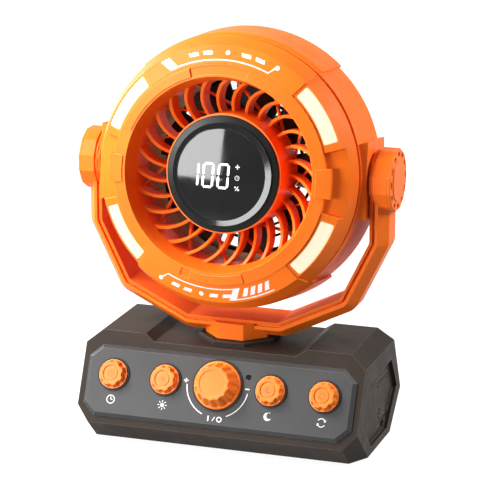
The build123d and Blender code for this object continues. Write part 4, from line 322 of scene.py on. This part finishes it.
# %% Base shell, control plate and feet
shell = moulded("charcoal_shell", (0.035, 0.026, 0.0205), (0.042, 0.032, 0.026), (0.22, 0.205, 0.19),
                rough=(0.42, 0.54), grain=2400.0, bump=0.09, round_edge=0.7, gloss=0.05)
dress(shell, "base_housing", "bottom_cover", "turret_ring", "port_door", "port_bay")
plate = moulded("gunmetal_plate", (0.052, 0.052, 0.053), (0.060, 0.060, 0.061), (0.34, 0.335, 0.33),
                rough=(0.34, 0.42), grain=3200.0, bump=0.05, round_edge=0.5, gloss=0.14)
dress(plate, "control_plate")
rubber = moulded("foot_rubber", (0.02, 0.02, 0.02), (0.028, 0.028, 0.027), (0.05, 0.05, 0.05),
                 rough=(0.75, 0.9), grain=1200.0, bump=0.15)
dress(rubber, "rubber_feet")

# %% [markdown]
# ## Lights
# Each diffuser is milky plastic lit from behind. The light turns warmer towards its edges, where
# the ring's window shades the board, so the emission's colour follows a soft mask of the edges. A
# noise makes its strength a little uneven.

# %% Glowing diffusers
DIFFUSERS = 4
CLOUD_SCALE, GLOSS_SCALE = 60.0, 400.0      # of the noise in the glow and of the one in the gloss
MIDDLE_GLOW, EDGE_GLOW = (1.0, 0.93, 0.66), (1.0, 0.74, 0.36)
milky, tree_nodes, links, shader = new_material("milky_light")
shader.inputs["Base Color"].default_value = (0.25, 0.23, 0.17, 1.0)
shader.inputs["Specular IOR Level"].default_value = 0.1
mask, rounded = edge_mask(tree_nodes, links, 1.2 * MM)
cloud = ranged(tree_nodes, links, object_noise(tree_nodes, links, CLOUD_SCALE), *NOISE_SPAN, 0.76, 0.80)
links.new(mixed(tree_nodes, links, mask, MIDDLE_GLOW, EDGE_GLOW), shader.inputs["Emission Color"])
links.new(cloud, shader.inputs["Emission Strength"])
gloss = ranged(tree_nodes, links, object_noise(tree_nodes, links, GLOSS_SCALE), *NOISE_SPAN, 0.35, 0.5)
links.new(gloss, shader.inputs["Roughness"])
links.new(rounded, shader.inputs["Normal"])
dress(milky, *[f"light_diffuser_{number}" for number in range(1, DIFFUSERS + 1)])

# %% [markdown]
# ## Display
# The lens and its bezel are glossy black. A faint noise in the roughness keeps the reflections
# from looking computed. Round the dome the glass rises again like the rim of a dish: a relief that
# grows with the distance from the axis turns the reflections there, so that a softbox on the left
# shows on the lower right of the rim.

# %% Display glass and bezel
DISH_INNER, DISH_OUTER = 32.4 * MM, 36.4 * MM
DISH_RISE = 2.1 * MM


def add_relief(material, height, distance):
    """Second bump on top of the first: height is a socket from 0 to 1, distance in metres."""
    tree_nodes, links = material.node_tree.nodes, material.node_tree.links
    normal = tree_nodes["Principled BSDF"].inputs["Normal"]
    relief = tree_nodes.new("ShaderNodeBump")
    relief.inputs["Strength"].default_value = 1.0
    relief.inputs["Distance"].default_value = distance
    links.new(height, relief.inputs["Height"])
    links.new(normal.links[0].from_socket, relief.inputs["Normal"])
    links.new(relief.outputs["Normal"], normal)


lens_black = moulded("lens_black", (0.003, 0.003, 0.0032), (0.005, 0.005, 0.005), (0.03, 0.03, 0.03),
                     rough=(0.04, 0.09), bump=0.0, round_edge=0.4, gloss=0.22)
tree_nodes, links = lens_black.node_tree.nodes, lens_black.node_tree.links
from_axis = head_polar(tree_nodes, links)[0]
rim = ranged(tree_nodes, links, from_axis, DISH_INNER, DISH_OUTER, 0.0, 1.0)
add_relief(lens_black, rim, DISH_RISE)
dress(lens_black, "display_lens", "sensor_window")
bezel_black = moulded("bezel_black", (0.006, 0.006, 0.006), (0.009, 0.009, 0.009), (0.04, 0.04, 0.04),
                      rough=(0.16, 0.26), bump=0.0, round_edge=0.3, gloss=0.12)
dress(bezel_black, "display_bezel", "digit_module")

# %% [markdown]
# ## Hardware
# Screws, shafts and cans get brushed or turned steel: a noise stretched along one axis gives the
# direction of the tool marks.

# %% Steel
TOOL_MARK_SCALE = 900.0
TOOL_MARK_DEPTH = 0.2 * MM


def turned_steel(name, tone, stretch):
    """Steel with fine tool marks in one direction."""
    material, tree_nodes, links, shader = new_material(name)
    place = tree_nodes.new("ShaderNodeTexCoord")
    stretcher = tree_nodes.new("ShaderNodeMapping")
    stretcher.inputs["Scale"].default_value = stretch
    noise = tree_nodes.new("ShaderNodeTexNoise")
    noise.inputs["Scale"].default_value = TOOL_MARK_SCALE
    links.new(place.outputs["Object"], stretcher.inputs["Vector"])
    links.new(stretcher.outputs["Vector"], noise.inputs["Vector"])
    marks = noise.outputs["Fac"]
    dark = tuple(channel * 0.8 for channel in tone)
    links.new(mixed(tree_nodes, links, marks, tone, dark), shader.inputs["Base Color"])
    links.new(ranged(tree_nodes, links, marks, *NOISE_SPAN, 0.22, 0.38), shader.inputs["Roughness"])
    shader.inputs["Metallic"].default_value = 1.0
    relief = tree_nodes.new("ShaderNodeBump")
    relief.inputs["Strength"].default_value = 0.08
    relief.inputs["Distance"].default_value = TOOL_MARK_DEPTH
    links.new(marks, relief.inputs["Height"])
    links.new(relief.outputs["Normal"], shader.inputs["Normal"])
    return material


steel = turned_steel("turned_steel", (0.62, 0.61, 0.60), (1.0, 0.1, 1.0))
dress(steel, "base_screws", "rear_screws", "pivot_bolts", "pivot_washers", "door_pin",
      "spindle_clip", "fan_shaft", "impeller_nut", "pan_motor_shaft", "encoder_shaft",
      "encoder_plunger", "usb_sockets")
can_steel = turned_steel("motor_can", (0.50, 0.50, 0.51), (1.0, 1.0, 0.08))
dress(can_steel, "pan_motor", "fan_motor", "motor_bracket")

# %% [markdown]
# ## The pieces inside
# The gear train is natural nylon. Boards get solder-mask green with a darker weave, the cells a
# blue sleeve, and the switches and the tray a matt black. They hardly show, but a piece that is
# taken out or seen from another side needs its finish too.

# %% Nylon, boards, cells and switches
nylon = moulded("natural_nylon", (0.74, 0.72, 0.66), (0.70, 0.68, 0.61), (0.85, 0.84, 0.8),
                rough=(0.4, 0.5))
dress(nylon, "pan_gear", "pan_pinion", "pan_bush", "pan_spindle")
board = moulded("board_green", (0.012, 0.085, 0.03), (0.018, 0.11, 0.04), (0.25, 0.2, 0.08),
                rough=(0.3, 0.4), grain=600.0, bump=0.1)
dress(board, "control_board", "main_board", "port_board", "display_board", "led_board")
sleeve = moulded("cell_sleeve", (0.02, 0.09, 0.32), (0.025, 0.11, 0.36), (0.1, 0.2, 0.5),
                 rough=(0.2, 0.32), grain=300.0, bump=0.04)
dress(sleeve, "battery_cells")
inner_black = moulded("inner_black", (0.02, 0.02, 0.021), (0.03, 0.03, 0.03), (0.07, 0.07, 0.07),
                      rough=(0.5, 0.65))
dress(inner_black, "battery_tray", "button_switches", "encoder_body")
bare = [name for name, item in nodes.items() if not item.data.materials or item.data.materials[0] is None]
print("nodes without a finish:", bare)

# %% [markdown]
# ## Drawing prints
# A print is a list of flat polygons, built from strokes, arcs and dots in millimetres. Arcs are
# chains of quads, because a quad bends onto a cone or a dome without folding.

# %% Print shapes
def bar(x0, y0, x1, y1, width):
    """Straight stroke between two points."""
    start, end = Vector((x0, y0)), Vector((x1, y1))
    along = (end - start).normalized() * (width / 2)
    side = Vector((-along.y, along.x))
    return [[start + side, start - side, end - side, end + side]]


def arc(cx, cy, radius, width, start, end, steps=24):
    """Curved stroke, as a chain of quads."""
    def on(share, reach):
        angle = radians(start + (end - start) * share)
        return Vector((cx + reach * cos(angle), cy + reach * sin(angle)))
    inner, outer = radius - width / 2, radius + width / 2
    return [
        [on(i / steps, inner), on(i / steps, outer), on((i + 1) / steps, outer), on((i + 1) / steps, inner)]
        for i in range(steps)
    ]


def dot(cx, cy, radius, steps=20):
    """Filled circle."""
    turns = [2 * pi * i / steps for i in range(steps)]
    return [[Vector((cx + radius * cos(turn), cy + radius * sin(turn))) for turn in turns]]


def plus(cx, cy, half, width):
    """Plus sign."""
    return bar(cx - half, cy, cx + half, cy, width) + bar(cx, cy - half, cx, cy + half, width)


print("polygons in a full circle's stroke:", len(arc(0, 0, 1, 0.1, 0, 360)))

# %% [markdown]
# `print_piece` lays the polygons on a surface with the given mapping and gives them a real, very
# small thickness, so they never flicker against what they lie on. The piece then rides on the body
# that it is printed on.

# %% Prints as thin pieces
PRINT_RISE, PRINT_SINK = 0.06, 0.05         # of a print above and below the surface, in millimetres


def print_piece(name, polygons, place, body, material):
    """Thin raised print: place(x, y, above) gives the point in space."""
    mesh = bpy.data.meshes.new(name)
    shape = bmesh.new()
    for polygon in polygons:
        top = [shape.verts.new(place(p[0], p[1], PRINT_RISE)) for p in polygon]
        low = [shape.verts.new(place(p[0], p[1], -PRINT_SINK)) for p in polygon]
        shape.faces.new(top)
        for i in range(len(top)):
            j = (i + 1) % len(top)
            shape.faces.new((top[i], low[i], low[j], top[j]))
    bmesh.ops.recalc_face_normals(shape, faces=shape.faces)
    shape.to_mesh(mesh)
    shape.free()
    piece = bpy.data.objects.new(name, mesh)
    bpy.context.scene.collection.objects.link(piece)
    mesh.materials.append(material)
    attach(piece, body)
    print(f"{name}: {len(polygons)} polygons on {body}")


# %% [markdown]
# ## Inks
# Screen-printed ink is a little uneven where the mesh of the screen thinned it, so a speckle
# changes its tone and its gloss together. The display's segments use the same recipe with a glow.

# %% Inks
SPECKLE_SCALE = 1600.0
SPECKLE_SPAN = (0.35, 0.7)
THINNED = 0.86                              # tone of the thinned ink


def ink(name, colour, glow=0.0):
    """Printed ink, or a lit segment where glow is above 0."""
    material, tree_nodes, links, shader = new_material(name)
    thin = tuple(channel * THINNED for channel in colour)
    speckle = object_noise(tree_nodes, links, SPECKLE_SCALE, 3.0)
    speckle = ranged(tree_nodes, links, speckle, *SPECKLE_SPAN, 0.0, 1.0)
    links.new(mixed(tree_nodes, links, speckle, colour, thin), shader.inputs["Base Color"])
    links.new(ranged(tree_nodes, links, speckle, 0.0, 1.0, 0.4, 0.55), shader.inputs["Roughness"])
    shader.inputs["Emission Color"].default_value = (*colour, 1.0)
    shader.inputs["Emission Strength"].default_value = glow
    return material


white_ink = ink("white_ink", (0.86, 0.86, 0.85))
deep_ink = ink("deep_orange_ink", (0.60, 0.075, 0.006))
segment_glow = ink("segment_glow", (0.95, 0.97, 1.0), glow=1.1)
sign_glow = ink("sign_glow", (0.72, 0.73, 0.75), glow=0.6)
print("inks:", white_ink.name, deep_ink.name, segment_glow.name, sign_glow.name)

# %% [markdown]
# ## Pictograms
# The push buttons have pictograms: a clock, a lamp, a moon and two turning arrows. Each is a
# function of its centre and size, because it is printed twice: large under the button and small on
# top of it.

# %% Pictograms
THIN_STROKE, THICK_STROKE = 0.18, 0.2       # stroke widths as shares of a pictogram's size


def clock(cx, cy, size):
    """Clock face with two hands."""
    return (
        arc(cx, cy, size, THICK_STROKE * size, 0, 360, 28)
        + bar(cx, cy, cx, cy + 0.65 * size, THIN_STROKE * size)
        + bar(cx, cy, cx + 0.5 * size, cy, THIN_STROKE * size)
    )


def lamp(cx, cy, size):
    """Disc with eight rays."""
    shapes = dot(cx, cy, 0.5 * size)
    for turn in range(0, 360, 45):
        x, y = size * cos(radians(turn)), size * sin(radians(turn))
        shapes += bar(cx + 0.75 * x, cy + 0.75 * y, cx + 1.2 * x, cy + 1.2 * y, THIN_STROKE * size)
    return shapes


def moon(cx, cy, size):
    """Crescent, as a chain of quads between a large and a small arc."""
    inner_start, inner_end, inner_size = 82, 308, 0.78
    outer_turns = range(60, 331, 15)
    spans = len(outer_turns) - 1
    outer = [Vector((cx + size * cos(radians(a)), cy + size * sin(radians(a)))) for a in outer_turns]
    inner_centre = Vector((cx, cy)) + Vector((0.45, 0.26)) * size
    inner_turns = [inner_start + (inner_end - inner_start) * i / spans for i in range(spans + 1)]
    inner = [inner_centre + Vector((cos(radians(a)), sin(radians(a)))) * size * inner_size
             for a in inner_turns]
    return [[outer[i], outer[i + 1], inner[i + 1], inner[i]] for i in range(spans)]


def turning(cx, cy, size):
    """Two arrows that chase each other round a circle."""
    shapes = []
    for start in (0, 180):
        shapes += arc(cx, cy, size, THICK_STROKE * size, start + 30, start + 150, 14)
        tip, base = radians(start + 8), radians(start + 34)
        shapes.append([Vector((cx + reach * size * cos(turn), cy + reach * size * sin(turn)))
                       for reach, turn in ((1.0, tip), (1.4, base), (0.6, base))])
    return shapes


print("polygons:", [len(pictogram(0, 0, 1)) for pictogram in (clock, lamp, moon, turning)])

# %% [markdown]
# ## Marks on the control plate
# Round the knob runs an arc from plus to minus, with the bar, slash and ring of a power switch
# below it. Coordinates run along the plate and up it, with zero at the top edge of the control
# face, in millimetres.

# %% Marks on the plate and the buttons
PICTOGRAMS = {"timer_button": (clock, -79.0), "light_button": (lamp, -39.5),
              "night_button": (moon, 39.5), "rotation_button": (turning, 79.0)}
CONTROL_Y, LABEL_Y, POWER_Y = -CONTROL_DOWN, -50.3, -56.1
LABEL_SIZE, TOP_MARK_SIZE = 2.9, 2.1
BUTTON_TOP = 6.4            # above the plate
SCALE_RADIUS, SCALE_WIDTH = 23.0, 0.75


def on_plate(x, y, above):
    """Point on the plate, with y upwards."""
    return plate_point(x, -y, above)


def on_button(x, y, above):
    """Point on the top of a button, with y upwards."""
    return plate_point(x, -y, BUTTON_TOP + above)


knob_marks = (
    arc(0, CONTROL_Y, SCALE_RADIUS, SCALE_WIDTH, 183, 247)
    + arc(0, CONTROL_Y, SCALE_RADIUS, SCALE_WIDTH, 293, 351)
    + plus(-24.0, CONTROL_Y + 1.4, 1.6, SCALE_WIDTH)
    + bar(20.6, CONTROL_Y - 0.4, 23.8, CONTROL_Y - 0.4, 0.8)
)
power_marks = (
    bar(-4.0, POWER_Y - 1.9, -4.0, POWER_Y + 1.9, 0.9)
    + bar(-0.9, POWER_Y - 1.5, 0.9, POWER_Y + 1.5, 0.55)
    + arc(4.2, POWER_Y, 1.65, 0.8, 0, 360)
)
print_piece("knob_scale", knob_marks + power_marks, on_plate, "base", white_ink)
labels = []
for button, (pictogram, x) in PICTOGRAMS.items():
    labels += pictogram(x, LABEL_Y, LABEL_SIZE)
    print_piece(f"{button}_mark", pictogram(x, CONTROL_Y, TOP_MARK_SIZE), on_button, button, deep_ink)
print_piece("button_labels", labels, on_plate, "base", white_ink)

# %% [markdown]
# ## Ornament on the ring
# The raised top and bottom of the ring carry a thin white line that ends in a dot, a row of dashes
# with a dot in the middle, a broad slanted block and, at the bottom, bars like the ones on tool
# cases. It is drawn in angle and radius and bent onto the cone by `ring_point`.

# %% Shapes on the ring
RADIAN = 57.3               # in degrees


def ring_line(start, end, radius, width=0.8, steps=30):
    """Line along the ring."""
    span = (end - start) / steps
    inner, outer = radius - width / 2, radius + width / 2
    return [
        [(start + span * i, inner), (start + span * i, outer),
         (start + span * (i + 1), outer), (start + span * (i + 1), inner)]
        for i in range(steps)
    ]


def ring_dot(angle, radius, size=1.6, steps=18):
    """Round dot on the ring; degrees shrink with the radius, so the circle stays round."""
    turns = [2 * pi * i / steps for i in range(steps)]
    return [[(angle + size / radius * RADIAN * cos(turn), radius + size * sin(turn)) for turn in turns]]


def ring_bar(angle, width, inner, outer, lean):
    """Slanted bar across the ring."""
    return [[(angle, inner), (angle + width, inner), (angle + width + lean, outer), (angle + lean, outer)]]


print("a dot on the ring:", len(ring_dot(90, RING_INNER)[0]), "corners")

# %% [markdown]
# The top and the bottom have the same parts, with other angles and the other way round. Where the
# line meets the dot it bends outwards: `ring_lead` is that bend.

# %% Ring ornament
LINE_RADIUS, END_DOT_RADIUS, MIDDLE_DOT_RADIUS, RAIL_RADIUS = 80.2, 86.0, 85.2, 88.1
DASH_SPAN = (83.9, 86.5)    # inner and outer radius of the dashes
BLOCK_SPAN = (79.8, 88.4)
BARS_SPAN = (80.6, 86.4)


def ring_lead(line_end, dot_end):
    """Bend from the end of the line to its dot; the angles are those of its two ends."""
    return [[(line_end + 0.4, 79.8), (line_end - 0.2, 80.4), (dot_end, 85.4), (dot_end + 1.0, 85.4)]]


ornament = ring_line(65.5, 114.0, LINE_RADIUS) + ring_dot(63.0, END_DOT_RADIUS)
ornament += ring_lead(65.5, 63.2)
ornament += ring_bar(113.6, 4.6, *BLOCK_SPAN, 3.4)
for angle in (71.5, 78.5, 97.5, 104.5):
    ornament += ring_bar(angle - 2.3, 4.6, *DASH_SPAN, 0.6)
ornament += ring_dot(88.0, MIDDLE_DOT_RADIUS)
ornament += ring_line(244, 280, LINE_RADIUS) + ring_dot(241.6, END_DOT_RADIUS)
ornament += ring_lead(244.1, 241.4)
for angle in (250.0, 256.4, 269.6, 276.0):
    ornament += ring_bar(angle - 2.0, 4.0, *DASH_SPAN, -0.6)
ornament += ring_dot(263.0, MIDDLE_DOT_RADIUS)
ornament += ring_bar(280.0, 3.4, *BLOCK_SPAN, -3.4)
for angle in (285.6, 289.4, 293.2, 297.0):
    ornament += ring_bar(angle, 2.3, *BARS_SPAN, -2.2)
ornament += ring_line(277.4, 299.0, RAIL_RADIUS)
print_piece("ring_ornament", ornament, ring_point, "head", white_ink)

# %% [markdown]
# ## Digits of the display
# The digits are seven-segment bars just over the lens, lit from within. Each segment is a bar with
# pointed ends, like the chips they stand for. The lens is a shallow dome, so a print on it falls
# back with the distance from the middle.

# %% Display digits
SEGMENTS = {            # name: centre x, centre y, lies flat
    "a": (0, 1, True), "b": (1, 0.5, False), "c": (1, -0.5, False), "d": (0, -1, True),
    "e": (-1, -0.5, False), "f": (-1, 0.5, False),
}
SEGMENT_GAP = 0.3       # between a segment's point and the corner of the digit, in millimetres
DIGIT_LEAN = 0.06       # millimetres aside for each millimetre up
LENS_DEPTH, LENS_HALF, LENS_RISE = 45.3, 32.0, 1.6
DOME_RADIUS = (LENS_HALF**2 + LENS_RISE**2) / (2 * LENS_RISE)


def on_lens(x, y, above):
    """Point on the domed lens."""
    fall = DOME_RADIUS - (DOME_RADIUS**2 - x * x - y * y) ** 0.5
    return head_point(x, y, LENS_DEPTH - fall + above)


def segment(cx, cy, half, width, flat):
    """Bar with pointed ends."""
    w = width / 2
    outline = [(-half, 0), (-half + w, w), (half - w, w), (half, 0), (half - w, -w), (-half + w, -w)]
    return [[Vector((cx + (x if flat else y), cy + (y if flat else x))) for x, y in outline]]


def digit(cx, cy, names, wide=3.5, tall=8.2, width=1.55):
    """One digit from its segments; it leans a little, as display digits do."""
    shapes = []
    for name in names:
        sx, sy, flat = SEGMENTS[name]
        half = (wide if flat else tall / 2) - SEGMENT_GAP
        shapes += segment(cx + sx * wide, cy + sy * tall, half, width, flat)
    return [[Vector((p.x + DIGIT_LEAN * (p.y - cy), p.y)) for p in shape] for shape in shapes]


DIGIT_Y = -0.8
numerals = digit(-19.9, DIGIT_Y, "bc")
for digit_x in (-8.9, 2.3):
    numerals += digit(digit_x, DIGIT_Y, "abcdef")
print_piece("display_digits", numerals, on_lens, "head", segment_glow)

# %% [markdown]
# Beside the digits stand three small signs, one over the other: a plus, a clock and a percent sign.
# They are dimmer than the digits.

# %% Display signs
SIGN_X, PLUS_Y, CLOCK_Y, PERCENT_Y = 12.5, 6.3, -1.4, -8.8
signs = plus(SIGN_X, PLUS_Y, 1.6, 0.65)
signs += clock(SIGN_X, CLOCK_Y, 1.5)
signs += bar(SIGN_X - 1.0, PERCENT_Y - 1.5, SIGN_X + 1.0, PERCENT_Y + 1.5, 0.5)
signs += dot(SIGN_X - 1.1, PERCENT_Y + 0.9, 0.65, 10) + dot(SIGN_X + 1.1, PERCENT_Y - 0.9, 0.65, 10)
print_piece("display_signs", signs, on_lens, "head", sign_glow)

# %% [markdown]
# ## Studio
# A pale floor in a white room. What the camera or a mirror sees of them is white, but they send
# only a little light back, so that the undersides stay dark. The Light Path node tells the two
# apart. The floor keeps the object's shadow, because its seen level is added to its own shading.

# %% White for the camera, dim for the object
def seen_directly(tree_nodes, links):
    """1 for what the camera, a reflection or a transmission sees, otherwise 0."""
    ray = tree_nodes.new("ShaderNodeLightPath")
    result = ray.outputs["Is Camera Ray"]
    for name in ("Is Glossy Ray", "Is Transmission Ray"):
        result = number_math(tree_nodes, links, "MAXIMUM", result, ray.outputs[name])
    return result


ROOM_LEVEL = 0.12           # of the room's own light on the object
world = bpy.data.worlds.new("studio_room")
world.use_nodes = True
room, room_links = world.node_tree.nodes, world.node_tree.links
room["Background"].inputs["Color"].default_value = (1.0, 1.0, 1.0, 1.0)
room_strength = ranged(room, room_links, seen_directly(room, room_links), 0.0, 1.0, ROOM_LEVEL, 1.0)
room_links.new(room_strength, room["Background"].inputs["Strength"])
bpy.context.scene.world = world
print("room level on the object:", ROOM_LEVEL)

# %% [markdown]
# Close to the object the floor is a little darker than white, which lets the shadow show, and it
# rises to the white of the room further away, so that no horizon shows.

# %% Floor
FLOOR_HALF = 4.0            # half the floor's side, in metres
FLOOR_GREY = 0.22
FLOOR_LEVEL = 0.90          # added to the floor's shading where it is seen, close to the object
FLOOR_NEAR, FLOOR_FAR = 0.25, 0.80      # metres from the object over which that rises to 1
corners = [(x * FLOOR_HALF, y * FLOOR_HALF, 0) for x, y in ((-1, -1), (1, -1), (1, 1), (-1, 1))]
floor_mesh = bpy.data.meshes.new("studio_floor")
floor_mesh.from_pydata(corners, [], [(0, 1, 2, 3)])
floor = bpy.data.objects.new("studio_floor", floor_mesh)
bpy.context.scene.collection.objects.link(floor)
floor_white, tree_nodes, links, shader = new_material("floor_white")
shader.inputs["Base Color"].default_value = (FLOOR_GREY, FLOOR_GREY, FLOOR_GREY, 1.0)
shader.inputs["Roughness"].default_value = 0.9
shader.inputs["Emission Color"].default_value = (1.0, 1.0, 1.0, 1.0)
seen = seen_directly(tree_nodes, links)
place = tree_nodes.new("ShaderNodeTexCoord").outputs["Object"]
away = vector_math(tree_nodes, links, "LENGTH", place, Vector((0, 0, 0)), "Value")
level = ranged(tree_nodes, links, away, FLOOR_NEAR, FLOOR_FAR, FLOOR_LEVEL, 1.0)
links.new(number_math(tree_nodes, links, "MULTIPLY", level, seen), shader.inputs["Emission Strength"])
floor_mesh.materials.append(floor_white)
print("floor side", 2 * FLOOR_HALF, "m")

# %% [markdown]
# ## Softboxes
# One low and one high softbox stand in front on the left, and the glass mirrors the low one. One
# on either side, a little behind the object, draws its outline.

# %% Softboxes
SOFTBOXES = (               # degrees from the front (+ to the right), degrees up, metres off, side, watts
    ("low_key", -26, 8, 0.90, 0.26, 6.5),
    ("high_key", -54, 42, 0.75, 0.34, 10.0),
    ("left_rim", -112, 16, 0.85, 0.40, 8.0),
    ("right_rim", 104, 34, 0.90, 0.40, 7.0),
)
LIT_POINT = Vector((0.0, 0.0, 0.16))


def towards(azimuth, elevation):
    """Direction from the object, azimuth 0 being the front; both angles are in radians."""
    level = cos(elevation)
    return Vector((sin(azimuth) * level, -cos(azimuth) * level, sin(elevation)))


for name, azimuth, elevation, reach, side, watts in SOFTBOXES:
    data = bpy.data.lights.new(name, "AREA")
    data.shape, data.size, data.energy = "SQUARE", side, watts
    direction = towards(radians(azimuth), radians(elevation))
    softbox = bpy.data.objects.new(name, data)
    softbox.location = LIT_POINT + direction * reach
    softbox.rotation_euler = (-direction).to_track_quat("-Z", "Y").to_euler()
    bpy.context.scene.collection.objects.link(softbox)
print("softboxes", len(SOFTBOXES))

# %% [markdown]
# ## Camera
# The camera stands to the right of the front and a little above, far enough away for a mild
# perspective, with a long lens.

# %% Camera
CAMERA_AZIMUTH, CAMERA_ELEVATION = radians(18.8), radians(15.18)
CAMERA_REACH = 1.7134
CAMERA_TARGET = Vector((-0.00064, 0, 0.14419))
PICTURE_WIDTH, FOCAL_LENGTH = 480, 2386.5        # in pixels
SENSOR_WIDTH = 36.0                             # in millimetres
back = towards(CAMERA_AZIMUTH, CAMERA_ELEVATION)
camera_data = bpy.data.cameras.new("camera")
camera_data.sensor_width = SENSOR_WIDTH
camera_data.lens = SENSOR_WIDTH * FOCAL_LENGTH / PICTURE_WIDTH
camera_data.clip_start, camera_data.clip_end = 0.05, 30.0
camera = bpy.data.objects.new("camera", camera_data)
camera.location = CAMERA_TARGET + back * CAMERA_REACH
camera.rotation_mode = "QUATERNION"
camera.rotation_quaternion = (-back).to_track_quat("-Z", "Y")
bpy.context.scene.collection.objects.link(camera)
bpy.context.scene.camera = camera
bpy.context.scene.view_settings.view_transform = "Standard"
print("lens", round(camera_data.lens, 1), "mm")
